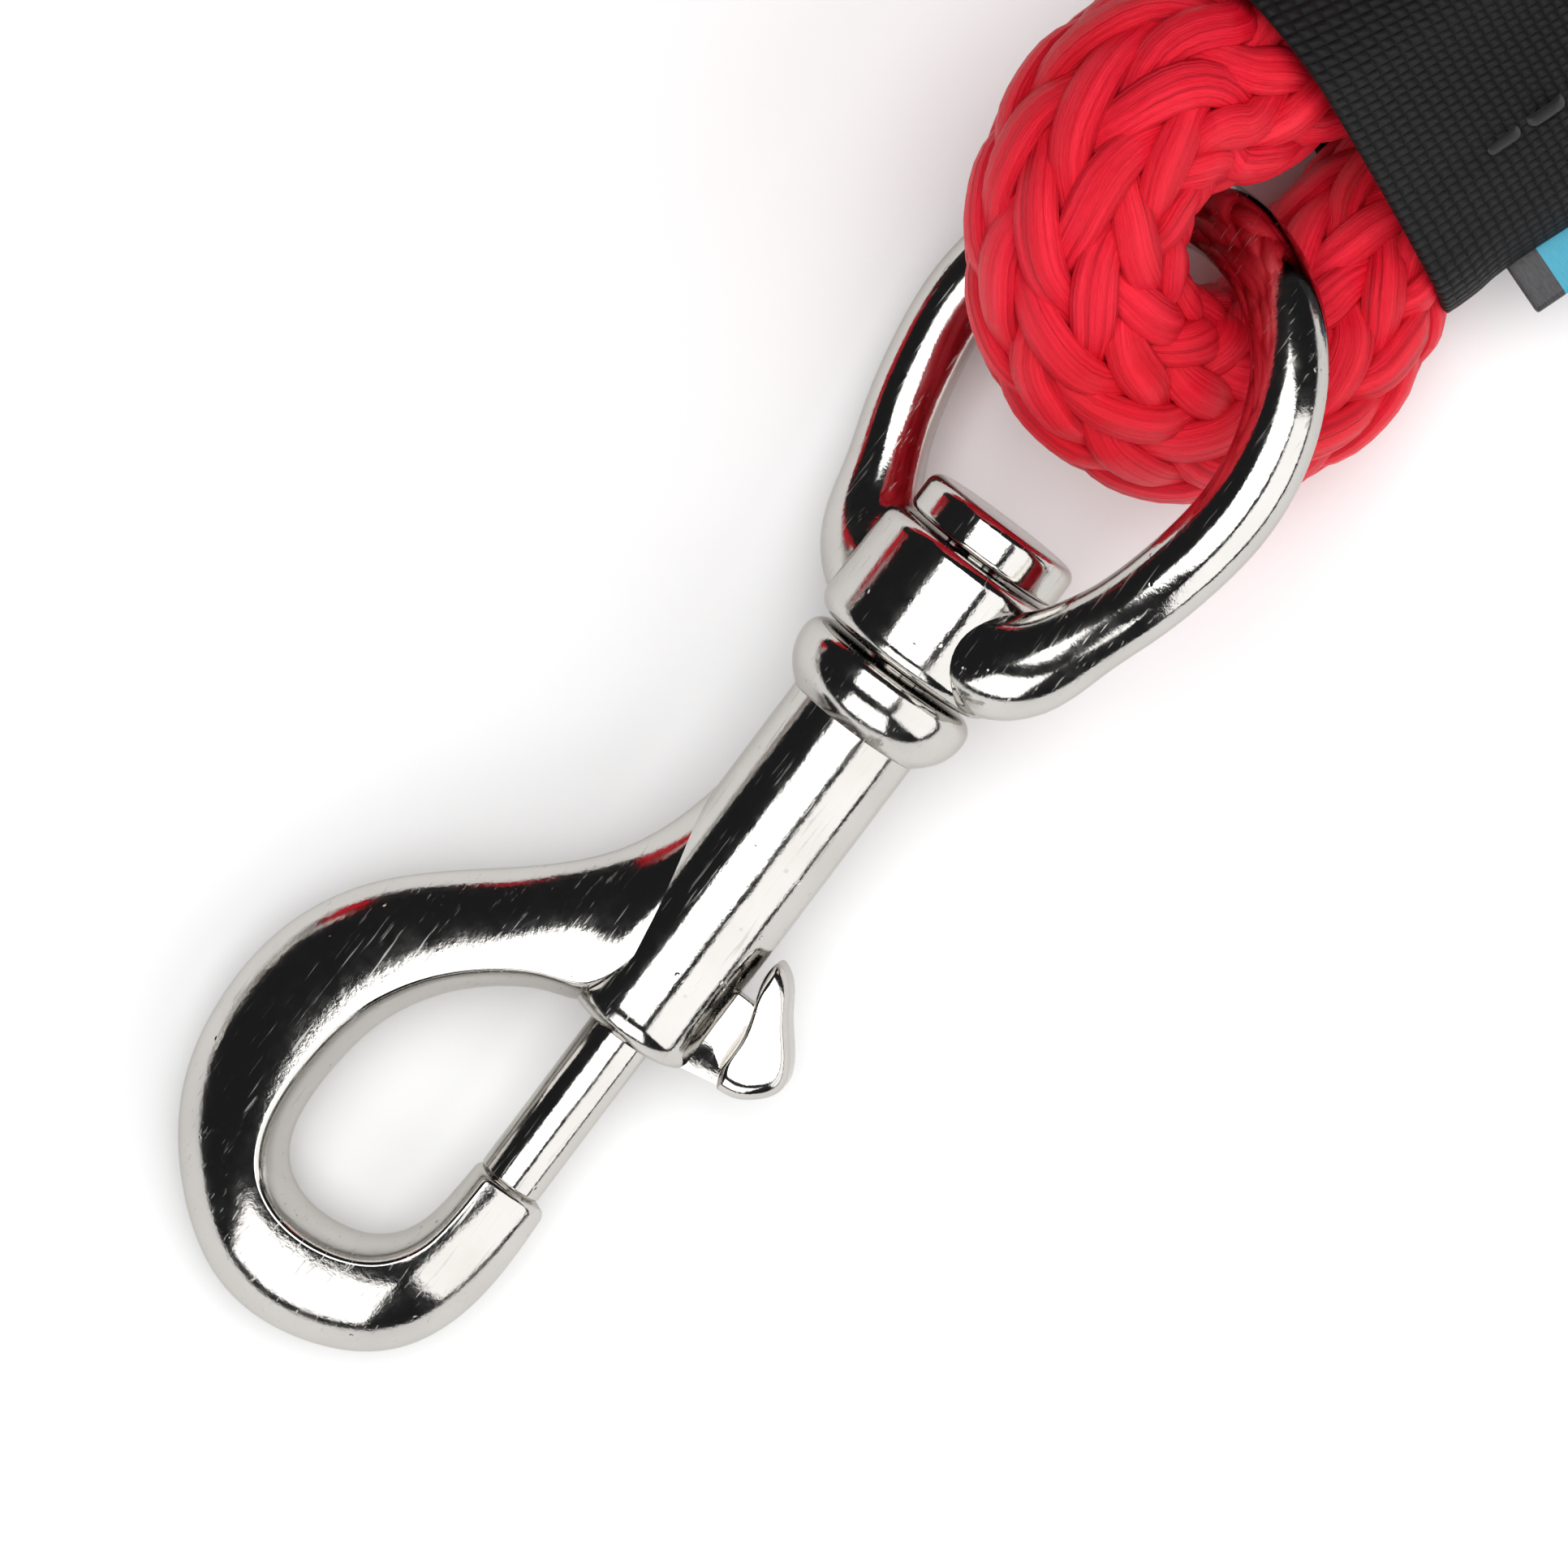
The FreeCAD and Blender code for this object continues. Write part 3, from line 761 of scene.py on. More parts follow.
FINISHES = {
    Slot.CASTING: Nickel(),
    Slot.TURNED: Nickel(peel=0.03, pits=0.15, turned_lines=0.12),
    Slot.BOLT: Nickel(peel=0.04, pits=0.2, turned_lines=0.06),
    Slot.SPRING: Nickel(colour=(0.55, 0.54, 0.52), worn=(0.40, 0.38, 0.36), smooth=0.22, rough=0.4),
    Slot.BRAID: Braid(),
    Slot.WEBBING: Webbing(),
    Slot.THREAD: Thread(),
    Slot.LABEL: LabelSatin(),
}


class Bench:
    """Turns shapes into named, dressed pieces that ride on their bodies."""

    def __init__(self) -> None:
        """Mixes one material for each slot."""
        self.materials = {slot: finish.material(slot.value) for slot, finish in FINISHES.items()}

    def piece(self, name: str, shape: Shape, slot: Slot, body: str, replaces: Iterable[str],
              crease: float) -> bpy.types.Object:
        """Makes a piece.

        Args:
            name: The piece's name.
            shape: Its surfaces, already in the row frame.
            slot: The record's material slot.
            body: The body it rides on.
            replaces: CAD nodes that it stands for.
            crease: Angle in degrees above which an edge stays sharp.

        Returns:
            The piece's object, at the origin.
        """
        mesh = shape.mesh(name, crease)
        made = linked(name, mesh)
        mesh.materials.append(self.materials[slot])
        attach(made, body)
        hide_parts(*replaces)
        log.info("%s: %d faces, rides on %s", name, len(mesh.polygons), body)
        return made


@dataclass
class EndPart:
    """Something that belongs to one end of the rope."""

    bench: Bench
    side: Side

    def piece(self, name: str, shape: Shape, slot: Slot, body: str, node: str,
              crease: float) -> bpy.types.Object:
        """Makes this end's piece: its name, node and, but for the rope, body end in the side's letter."""
        end = self.side.value
        rides_on = body if body == ROPE_BODY else f"{body}_{end}"
        return self.bench.piece(f"{name}_{end}", shape, slot, rides_on, [f"{node}_{end}"], crease)


# ---------------------------------------------------------------- the rope
@dataclass(frozen=True)
class PlaitedRope:
    """Twenty-four strands over a core, twelve each way, each over two and under two."""

    each_way: int = 12
    lay: float = 72.0
    over_radius: float = 6.95
    under_radius: float = 5.75
    half_width: float = 1.72
    half_thick: float = 0.98
    straightened: float = 0.55
    narrowest: float = 0.66
    thinnest: float = 0.86
    squareness: float = 0.9
    core_radius: float = 5.35
    core_sides: int = 8
    pattern_length: float = 40.0
    packed: float = 0.875
    over_centres: Pair = (0.25, 1.25)

    def strands(self, path: np.ndarray, run: np.ndarray, scale: np.ndarray, sides: int) -> np.ndarray:
        """The strands' surfaces round a path.

        A strand turns once round the path in its lay, and rises to the outside twice in each half
        turn: its radius follows the sine of a quarter turn times the cosine of the crossing phase.
        While it is outside it runs straighter, by that phase's sine. Its section is an ellipse,
        wider and thicker where it floats, square to the strand and flat to the rope.

        Args:
            path: Points of the rope's middle, in millimetres.
            run: The length along the rope at each.
            scale: How far the rope is squeezed at each.
            sides: Points round each strand.

        Returns:
            Points, (strands, rows, sides, 3).
        """
        up, side = frames(path)
        way = np.repeat([1.0, -1.0], self.each_way)[:, None]
        number = np.tile(np.arange(self.each_way), 2)[:, None]
        step = 360.0 / self.each_way
        centre = np.repeat(self.over_centres, self.each_way)[:, None] * step
        even = step * number + way * 360.0 * run[None] / self.lay
        phase = 2 * math.pi * (even - centre) / (2 * step)
        angle = np.radians(even - self.straightened * (2 * step / (2 * math.pi)) * np.sin(phase))
        lift = np.sin(math.pi / 2 * np.cos(phase))
        middle = (self.over_radius + self.under_radius) / 2
        reach = (middle + (self.over_radius - self.under_radius) / 2 * lift) * scale[None]
        outward = np.cos(angle)[..., None] * up[None] + np.sin(angle)[..., None] * side[None]
        line = path[None] + reach[..., None] * outward
        tangent = unit(np.gradient(line, axis=1))
        across = unit(np.cross(tangent, outward))
        normal = np.cross(across, tangent)
        swell = 0.5 + 0.5 * np.cos(phase)
        width = self.half_width * (self.narrowest + (1 - self.narrowest) * swell)
        depth = self.half_thick * (self.thinnest + (1 - self.thinnest) * swell)
        wide, thick = ((size * scale[None])[..., None, None] for size in (width, depth))
        round_ = whole_turn(sides) - math.pi / 2
        flat = np.sign(np.cos(round_)) * np.abs(np.cos(round_))**self.squareness
        return (line[:, :, None] + wide * flat[None, None, :, None] * across[:, :, None]
                + thick * np.sin(round_)[None, None, :, None] * normal[:, :, None])

    def uv(self, run: np.ndarray, sides: int) -> np.ndarray:
        """Surface coordinates: centimetres along the strand, and the share of the way round it."""
        return spread(run[:, None] / 10, np.arange(sides + 1) / sides)

    def squeeze(self, run: np.ndarray, start: float, length: float) -> np.ndarray:
        """The rope's scale: packed near both ends, then a smooth step up to one over a length."""
        from_end = np.minimum(run, run[-1] - run)
        return self.packed + (1 - self.packed) * smooth_step((from_end - start) / length)

    def shape(self, path: np.ndarray, run: np.ndarray, scale: np.ndarray, sides: int) -> Shape:
        """Strands and core round a path, each strand with its own stretch of the yarn's pattern."""
        made = Shape()
        tubes = self.strands(path, run, scale, sides)
        starts = np.random.default_rng(24).uniform(0, self.pattern_length, (len(tubes), 1, 1, 1))
        uv = self.uv(run, sides)[None] + np.concatenate([starts, starts * 0], axis=-1)
        made.add(tubes, uv)
        core = bar(path, self.core_radius * scale, self.core_sides)
        made.add(core, self.uv(run, self.core_sides))
        return made


@dataclass
class FreeSpan:
    """The rope between its two sleeves: a run, a flat coil, its last part on top, and a run."""

    bench: Bench
    rope: PlaitedRope = field(default_factory=PlaitedRope)
    corners_a_half: int = 7
    tuck: float = 3.0
    ease_start: float = 2.0
    ease_length: float = 7.0
    length: float = 1.42
    step: float = 1.9
    sides: int = 5

    def route(self) -> np.ndarray:
        """Control points of the rope's middle, in metres, in the row frame."""
        heading = PLAN.along(PLAN.sleeve_turn)
        start = PLAN.near_leg
        points = [start - heading * self.tuck, start + heading * 12, PLAN.coil_entry - heading * 8]
        entry_angle = PLAN.sleeve_turn - 90
        turn = 180 / self.corners_a_half
        inwards = PLAN.along(entry_angle + 180) * PLAN.coil_pitch / 2
        for half in range(PLAN.coil_half_turns):
            radius = (PLAN.coil_start - half * PLAN.coil_pitch / 2) / math.cos(math.radians(turn / 2))
            centre = PLAN.coil_centre + inwards * (half % 2) + [0, 0, PLAN.rope_radius]
            angles = entry_angle + 180 * half + turn * (np.arange(self.corners_a_half) + 0.5)
            points.extend(centre + PLAN.along(angles) * radius)
        step = (PLAN.climb_end - entry_angle) / len(PLAN.climb)
        for number, (radius, height) in enumerate(PLAN.climb):
            reach = radius / math.cos(math.radians(step / 2))
            out = PLAN.along(entry_angle + (number + 0.5) * step) * reach
            points.append(PLAN.coil_centre + out + [0, 0, height])
        end = PLAN.coil_end
        points += [end + [-10, 0, 0], end + [-30, 0.8, 0], end + [-54, 0.3, -2.0], end + [-76, 0, -14.0],
                   PLAN.far_leg + [8, 0, 0], PLAN.far_leg + [-self.tuck, 0, 0]]
        return from_plan(Side.NEAR).apply(np.array(points)) * MM

    def build(self) -> bpy.types.Object:
        line = spline_path("rope_line", self.route())
        path, run = evenly(line / MM, self.step)
        scale = self.rope.squeeze(run, self.ease_start, self.ease_length)
        made = self.bench.piece("rope_free_span", self.rope.shape(path, run, scale, self.sides),
                                Slot.BRAID, ROPE_BODY, ["rope_lead_a", "rope_coil", "rope_lead_b"],
                                SOFT_CREASE)
        tuple(from_plan(Side.NEAR).apply(PLAN.near_leg) * MM)
        log.info("free span: %.3f m", run[-1] * MM)
        return made


@dataclass
class RopeEnd(EndPart):
    """One end of the rope: its eye, the sewn sleeve round its two legs, the stitches and the label."""

    rope: PlaitedRope = field(default_factory=PlaitedRope)
    eye_step: float = 0.75
    eye_sides: int = 12
    leg_reach: float = 52.0
    ease_start: float = 54.0
    ease_length: float = 6.0
    inside_radius: float = 7.05
    wall: float = 1.15
    mouth_reach: float = 16.0
    mouth_flare: float = 0.75
    mouth_lead: Pair = (1.8, 3.8)
    mouth_rise: Pair = (1.7, 5.0)
    hem: float = 0.15
    fold_middle: float = 1.7
    fold_reach: float = 1.5
    face_rows: int = 150
    lining_rows: int = 38
    half_width_over_all: float = 14.0
    hollow: Pair = (0.55, 3.0)
    seam: Pair = (0.22, 0.8)
    pucker: float = 0.07
    pucker_start: float = 6.0
    pucker_waves: tuple[Pair, ...] = ((0.62, 0.35), (0.27, -0.8))
    stitch_row: float = 6.5
    stitch_first: float = 5.8
    stitch_pitch: float = 3.7
    stitch_length: float = 2.9
    stitch_radius: float = 0.44
    stitch_count: int = 13
    stitch_sides: int = 10
    label_start: float = 3.8
    label_width: float = 24.0
    label_proud: float = 3.6
    label_half: float = 0.42
    label_thick: float = 0.36
    label_tuck: float = 0.6
    label_seat: float = 1.4
    label_wave: float = 0.10
    label_belly: float = 0.05

    @property
    def outside_radius(self) -> float:
        """The face's distance from the line that the webbing is wrapped round."""
        return self.inside_radius + self.wall - self.hem

    def eye_route(self) -> np.ndarray:
        """Control points of the eye: up one leg, under the ring, through it, over it and back."""
        low = (-PLAN.leg_side, PLAN.leg_low)
        high = (PLAN.leg_side, PLAN.leg_high)
        heading = PLAN.along(PLAN.sleeve_turn)
        low_leg, high_leg = PLAN.at_sleeve(-0.6, *low), PLAN.at_sleeve(-0.6, *high)
        return np.array([
            PLAN.at_sleeve(self.leg_reach, *low), PLAN.at_sleeve(26, *low), PLAN.at_sleeve(3, *low),
            low_leg - heading * 4 + [0, -1.2, -0.3], (35.4, -10.4, 8.1), (27.4, -5.0, 11.2),
            (26.7, 3.6, 18.7), (33.2, 9.7, 24.4), (42.4, 10.5, 25.0),
            high_leg - heading * 4 + [-1.0, 1.8, 4.3],
            PLAN.at_sleeve(3, *high), PLAN.at_sleeve(26, *high), PLAN.at_sleeve(self.leg_reach, *high),
        ])

    def eye(self) -> bpy.types.Object:
        """The plaited eye, squeezed where the sleeve holds its legs."""
        route = from_plan(self.side).apply(self.eye_route()) * MM
        path, run = evenly(spline_path("eye_line", route) / MM, self.eye_step)
        scale = self.rope.squeeze(run, self.ease_start, self.ease_length)
        return self.piece("rope_eye_plait", self.rope.shape(path, run, scale, self.eye_sides),
                          Slot.BRAID, ROPE_BODY, "rope_eye", SOFT_CREASE)

    def section(self, arc: int = 30, flat: int = 24) -> tuple[np.ndarray, np.ndarray]:
        """The line between the legs that the webbing is wrapped round, and its outward directions.

        Returns:
            Points of the line, going round its two ends, and a unit normal at each, (n, 3).
        """
        low = np.array([0, -PLAN.leg_side, PLAN.leg_low])
        high = np.array([0, PLAN.leg_side, PLAN.leg_high])
        out = unit(high - low)
        up = np.array([0, -out[2], out[1]])
        turn = np.linspace(0, math.pi, arc)[:, None]
        share = np.linspace(0, 1, flat + 2)[1:-1, None]
        spine = np.concatenate([np.repeat(high[None], arc, 0), high + share * (low - high),
                                np.repeat(low[None], arc, 0), low + share * (high - low)])
        normals = np.concatenate([np.cos(turn) * up + np.sin(turn) * out, np.repeat(-up[None], flat, 0),
                                  -np.cos(turn) * up - np.sin(turn) * out, np.repeat(up[None], flat, 0)])
        return spine, normals

    def profile(self) -> tuple[np.ndarray, np.ndarray, np.ndarray]:
        """The wrap cut along the sleeve: out along the face, round the far edge and back inside.

        Returns:
            Distances along the sleeve, distances from the line that the webbing is wrapped round,
            thicker where the mouth is folded over, and one on the face or nought off it.
        """
        end, half = PLAN.sleeve_length, self.wall / 2
        turn = np.linspace(0, math.pi, 9)
        face = np.linspace(half, end - half, self.face_rows)
        lining = np.linspace(end - half, half, self.lining_rows + 2)[1:-1]
        middle = self.inside_radius + half
        x = np.concatenate([face, end - half + half * np.sin(turn)[1:], lining,
                            half - half * np.sin(turn)[:-1]])
        reach = np.concatenate([np.full(self.face_rows, self.outside_radius),
                                middle + (half - self.hem / 2) * np.cos(turn)[1:],
                                np.full(self.lining_rows, self.inside_radius),
                                middle - half * np.cos(turn)[:-1]])
        is_face = (np.arange(len(x)) < self.face_rows).astype(float)
        folded = self.hem * mound(x - self.fold_middle, self.fold_reach, 4)
        return x, reach + folded * is_face, is_face

    def sleeve(self) -> bpy.types.Object:
        """Webbing wrapped round both legs: the section pushed out by the profile.

        The face dips between the legs and under each row of stitches, and puckers a little. Near
        the mouth the square of the share left of its reach opens the wrap a little above the
        floor, carries it towards the ring, further on the high side, and lifts it with the high leg.
        """
        spine, normals = self.section()
        x, reach, is_face = self.profile()
        x = x[:, None]
        side = (spine[:, 1] + normals[:, 1] * self.outside_radius)[None]
        upward = normals[None, :, 2]
        hollow, hollow_reach = self.hollow
        seam, seam_reach = self.seam
        dip = hollow * mound(side, hollow_reach) * np.abs(upward)
        rows = sum(mound(side - row, seam_reach) for row in (self.stitch_row, -self.stitch_row))
        rows = seam * rows * np.clip(upward * 4, 0, 1)
        puckers = sum(np.sin(x * along + side * across) for along, across in self.pucker_waves)
        give = is_face[:, None] * np.clip(x / self.pucker_start, 0, 1)
        mouth = np.clip(1 - x / self.mouth_reach, 0, 1)**2
        out = reach[:, None] - give * (dip + rows - self.pucker * puckers)
        out = out + self.mouth_flare * mouth * (0.5 + 0.5 * upward)
        high_side = np.clip(side / (2 * self.half_width_over_all) + 0.5, 0, 1)**2
        high_leg = np.clip(spine[None, :, 1] / (2 * PLAN.leg_side) + 0.5, 0, 1)
        ahead = self.mouth_lead[0] + (self.mouth_lead[1] - self.mouth_lead[0]) * high_side
        grid = spine[None] + out[..., None] * normals[None] + spread(
            x - ahead * mouth, *(high_leg * mouth * rise for rise in self.mouth_rise))
        loop = np.linalg.norm(np.diff(np.concatenate([grid[0], grid[0, :1]]), axis=0), axis=1)
        around = np.concatenate([[0], np.cumsum(loop)])
        shape = Shape().add(grid, spread(x / 10, around[None] / 10), ring=True)
        made = self.piece("sleeve_webbing", shape.placed(from_sleeve(self.side)), Slot.WEBBING,
                          ROPE_BODY, "webbing_sleeve", WEBBING_CREASE)
        return made

    def face_height(self, across: float) -> Pair:
        """Height and lean of the sleeve's upper face at a distance from its middle."""
        radius = self.outside_radius
        lean = math.atan2(PLAN.leg_high - PLAN.leg_low, 2 * PLAN.leg_side)
        flat_end = PLAN.leg_side - radius * math.sin(lean)
        if across > flat_end:
            rise = math.sqrt(radius**2 - (across - PLAN.leg_side)**2)
            return PLAN.leg_high + rise, -math.asin((across - PLAN.leg_side) / radius)
        return PLAN.leg_high + radius * math.cos(lean) - (flat_end - across) * math.tan(lean), lean

    def stitches(self) -> bpy.types.Object:
        """Two rows of thread, each stitch a low arch whose ends go down into the webbing."""
        t = np.linspace(-1, 1, 15)
        turn = whole_turn(self.stitch_sides)[:, None]
        uv = spread(t[:, None] * self.stitch_length / 2, np.arange(self.stitch_sides + 1) / self.stitch_sides)
        shape = Shape()
        for across in (-self.stitch_row, self.stitch_row):
            height, lean = self.face_height(across)
            normal = np.array([0, -math.sin(lean), math.cos(lean)])
            seat = np.array([0, across, height])
            x = self.stitch_first + np.arange(self.stitch_count)[:, None] * self.stitch_pitch
            x = x + self.stitch_length / 2 * (1 + t[None] * 1.05)
            rise = self.stitch_radius * (0.75 - 1.5 * t**6)
            line = (x[..., None] * np.array([1.0, 0, 0]) + seat + rise[None, :, None] * normal)
            slip = np.cross(np.array([1.0, 0, 0]), normal)
            section = self.stitch_radius * (np.cos(turn) * slip + np.sin(turn) * normal)
            shape.add(line[:, :, None] + section[None, None], uv)
        return self.piece("stitches", shape.placed(from_sleeve(self.side)), Slot.THREAD, ROPE_BODY,
                          "sleeve_stitching", SOFT_CREASE)

    def label(self) -> bpy.types.Object:
        """A ribbon folded in two: a thin rounded oblong carried out, round a fold and back."""
        lining = -PLAN.leg_side - self.inside_radius
        edge = lining - self.wall + self.label_tuck
        fold = lining - self.label_seat - self.label_proud + self.label_half
        gap = self.label_half - self.label_thick / 2
        turn = np.linspace(0, math.pi, 12)
        face = np.linspace(edge, fold, 16)[:-1]
        y = np.concatenate([face, fold - gap * np.sin(turn), face[::-1]])
        z = np.concatenate([np.full(len(face), gap), gap * np.cos(turn), np.full(len(face), -gap)])
        run = np.concatenate([[0], np.cumsum(np.hypot(np.diff(y), np.diff(z)))])
        heading = unit(np.gradient(np.stack([y, z], axis=1), axis=0))
        out = np.stack([heading[:, 1], -heading[:, 0]], axis=1)
        thin = self.label_thick / 2
        long = np.linspace(thin, self.label_width - thin, 60)
        bend = np.linspace(math.pi / 2, -math.pi / 2, 5)
        x = np.concatenate([long, self.label_width - thin + thin * np.cos(bend)[1:-1], long[::-1],
                            thin - thin * np.cos(bend)[1:-1]])
        side = np.concatenate([np.full(len(long), thin), thin * np.sin(bend)[1:-1]])
        off = np.concatenate([side, -side])
        proud = np.clip((edge - y) / self.label_proud, 0, 1)[:, None]
        wave = self.label_wave * np.sin(x * 0.5 + 0.6)[None] * proud
        wave = wave + self.label_belly * np.sin(math.pi * proud) * np.sign(z)[:, None]
        section = np.stack([y, z], axis=1)[:, None] + off[None, :, None] * out[:, None]
        grid = spread(self.label_start + x[None], section[..., 0], PLAN.leg_low + section[..., 1] + wave)
        uv = spread(np.append(x, x[0])[None] / 10, run[:, None] / 10)
        made = self.bench.piece("label_tab", Shape().add(grid, uv).placed(from_sleeve(self.side)),
                                Slot.LABEL, ROPE_BODY, ["label"], WEBBING_CREASE)
        return made

    def build(self) -> None:
        """Builds this end's soft parts. Only the near end has a label."""
        self.eye()
        self.sleeve()
        self.stitches()
        if self.side is Side.NEAR:
            self.label()


# ---------------------------------------------------------------- the snap
@dataclass
class HookCasting(EndPart):
    """Hook, barrel and collar."""

    half: float = 4.72
    stations: tuple[tuple[float, float, float, float, float], ...] = (
        (-45.4, 2.7, -45.7, -3.5, 0.72), (-48.5, 2.9, -49.5, -3.6, 0.86), (-51.5, 3.6, -54.5, -3.1, 0.97),
        (-53.6, 5.3, -59.3, -0.9, 1.0), (-54.7, 8.2, -62.9, 4.5, 1.0), (-54.5, 11.4, -63.4, 12.0, 1.0),
        (-53.0, 13.6, -60.0, 17.9, 1.0), (-49.8, 14.7, -54.0, 22.6, 1.0), (-45.5, 14.7, -46.5, 24.4, 1.0),
        (-41.0, 13.8, -39.5, 23.6, 1.0), (-37.0, 11.6, -33.5, 20.4, 1.0), (-34.2, 8.8, -28.6, 15.4, 1.0),
        (-32.4, 5.9, -24.4, 10.7, 1.0), (-31.4, 3.6, -20.3, 7.5, 1.0), (-29.6, 2.5, -15.9, 5.75, 0.99),
        (-26.5, 1.8, -10.5, 4.75, 0.93), (-22.0, 1.2, -5.5, 4.3, 0.82),
    )
    inner_profile: tuple[Pair, ...] = ((0.0, 0.0), (0.25, 1.7), (1.25, 4.35), (1.75, 4.75),
                                                      (1.75, 4.75))
    outer_profile: tuple[Pair, ...] = (
        (0.25, 4.4), (0.49, 3.75), (0.68, 2.95), (0.84, 1.95), (0.955, 0.85), (1.0, 0.0))
    lip: tuple[Pair, ...] = ((0.55, 0.62), (0.80, 0.60), (0.91, 0.48), (0.975, 0.24))
    full_band_width: float = 7.0
    section_steps: int = 96
    bore: float = 2.52
    slot_half: float = 1.1
    mouth_x: float = -31.5
    slot_end: float = -11.1
    barrel_radius: float = 5.1
    bevel: Pair = (0.5, 2.2)
    bevel_drop: float = 1.9
    bell: tuple[Pair, ...] = (
        (-4.2, 5.1), (-3.6, 5.75), (-2.8, 6.4), (-1.8, 6.85), (-0.8, 7.0), (0.05, 6.85), (0.6, 6.35),
        (0.8, 5.7))
    outside_steps: int = 90
    inside_steps: int = 60

    def hook(self) -> Shape:
        """The curved hook: a ridged section carried along the stations.

        The inner and outer outlines and the thickness are cubic splines through the stations. At
        each the section's control points lie a fixed distance in from the inner outline, then at
        shares of what is left of the width, with heights that scale with the thickness, and a
        closed cubic B-spline through their mirror images makes it round.
        """
        line = through(np.array(self.stations), 150)
        inner, outer, thick = line[:, 0:2], line[:, 2:4], line[:, 4]
        width = np.linalg.norm(outer - inner, axis=1)
        across = (outer - inner) / width[:, None]
        near = np.array(self.inner_profile)
        far = np.array(self.outer_profile)
        band = np.minimum(1.0, width / self.full_band_width)[:, None]
        distance = np.concatenate([near[:, 0] * band, near[-1, 0] * band + far[:, 0]
                                   * (width[:, None] - near[-1, 0] * band)], axis=1)
        profile = np.concatenate([near[:, 1], far[:, 1]])[None] * (self.half / near[-1, 1])
        height = profile * thick[:, None]
        distance = np.concatenate([distance, distance[:, -2:0:-1]], axis=1)
        height = np.concatenate([height, -height[:, -2:0:-1]], axis=1)
        control = np.concatenate([inner[:, None] + distance[..., None] * across[:, None],
                                  height[..., None]], axis=2)
        weights = loop_weights(control.shape[1], self.section_steps)
        grid = np.einsum("mk,rkc->rmc", weights, control)
        middle = grid.mean(axis=1, keepdims=True)
        heading = unit(middle[0] - middle[1])
        lip = [middle[0] + (grid[0] - middle[0]) * share + heading * out for share, out in self.lip]
        return Shape().add(np.concatenate([np.array(lip), grid]))

    def barrel(self, shape: Shape) -> None:
        """The slotted part is a C-shaped section carried along x; the closed part is turned.

        Round the mouth the outside falls to the bore over a quarter of an ellipse, whose length
        along the barrel grows with the sine of the angle towards the hook's side.
        """
        cut_out = math.asin(self.slot_half / self.barrel_radius)
        cut_in = math.asin(self.slot_half / self.bore)
        outside = np.linspace(cut_out, 2 * math.pi - cut_out, self.outside_steps) - math.pi / 2
        inside = np.linspace(2 * math.pi - cut_in, cut_in, self.inside_steps) - math.pi / 2
        bevel = self.bevel[0] + (self.bevel[1] - self.bevel[0]) * (0.5 + 0.5 * np.sin(outside))**1.5
        fall = np.linspace(math.pi / 2, 0, 14)[:, None]
        rim_x = self.mouth_x + bevel * (1 - np.sin(fall))
        rim_radius = self.barrel_radius - self.bevel_drop * (1 - np.cos(fall))
        run = np.array([-27.0, -22.0, -16.0, self.slot_end])[:, None]
        x = np.concatenate([np.full((1, self.outside_steps), self.mouth_x), rim_x,
                            np.broadcast_to(run, (len(run), self.outside_steps))])
        radius = np.concatenate([np.full((1, 1), self.bore + 0.05), rim_radius,
                                 np.full((len(run), 1), self.barrel_radius)])
        outer = spread(x, radius * np.cos(outside), radius * np.sin(outside))
        bore = spread(x[:, :1], self.bore * np.cos(inside), self.bore * np.sin(inside))
        shape.add(np.concatenate([outer, bore], axis=1))
        bell = through(np.array(self.bell), 40)
        shape.add(revolved(np.concatenate([
            [(self.slot_end, self.bore), (self.slot_end, self.barrel_radius), (-8.0, self.barrel_radius),
             (-4.4, self.barrel_radius)], bell, [(0.8, 2.75), (-3.0, 2.65), (-3.0, self.bore)]])), ring=True)

    def build(self) -> None:
        """Builds the casting as one piece."""
        shape = self.hook()
        self.barrel(shape)
        self.piece("hook_casting", shape.placed(from_snap(self.side, SNAP_ROLL)), Slot.CASTING, "hook",
                   "hook_body", SHARP_CREASE)


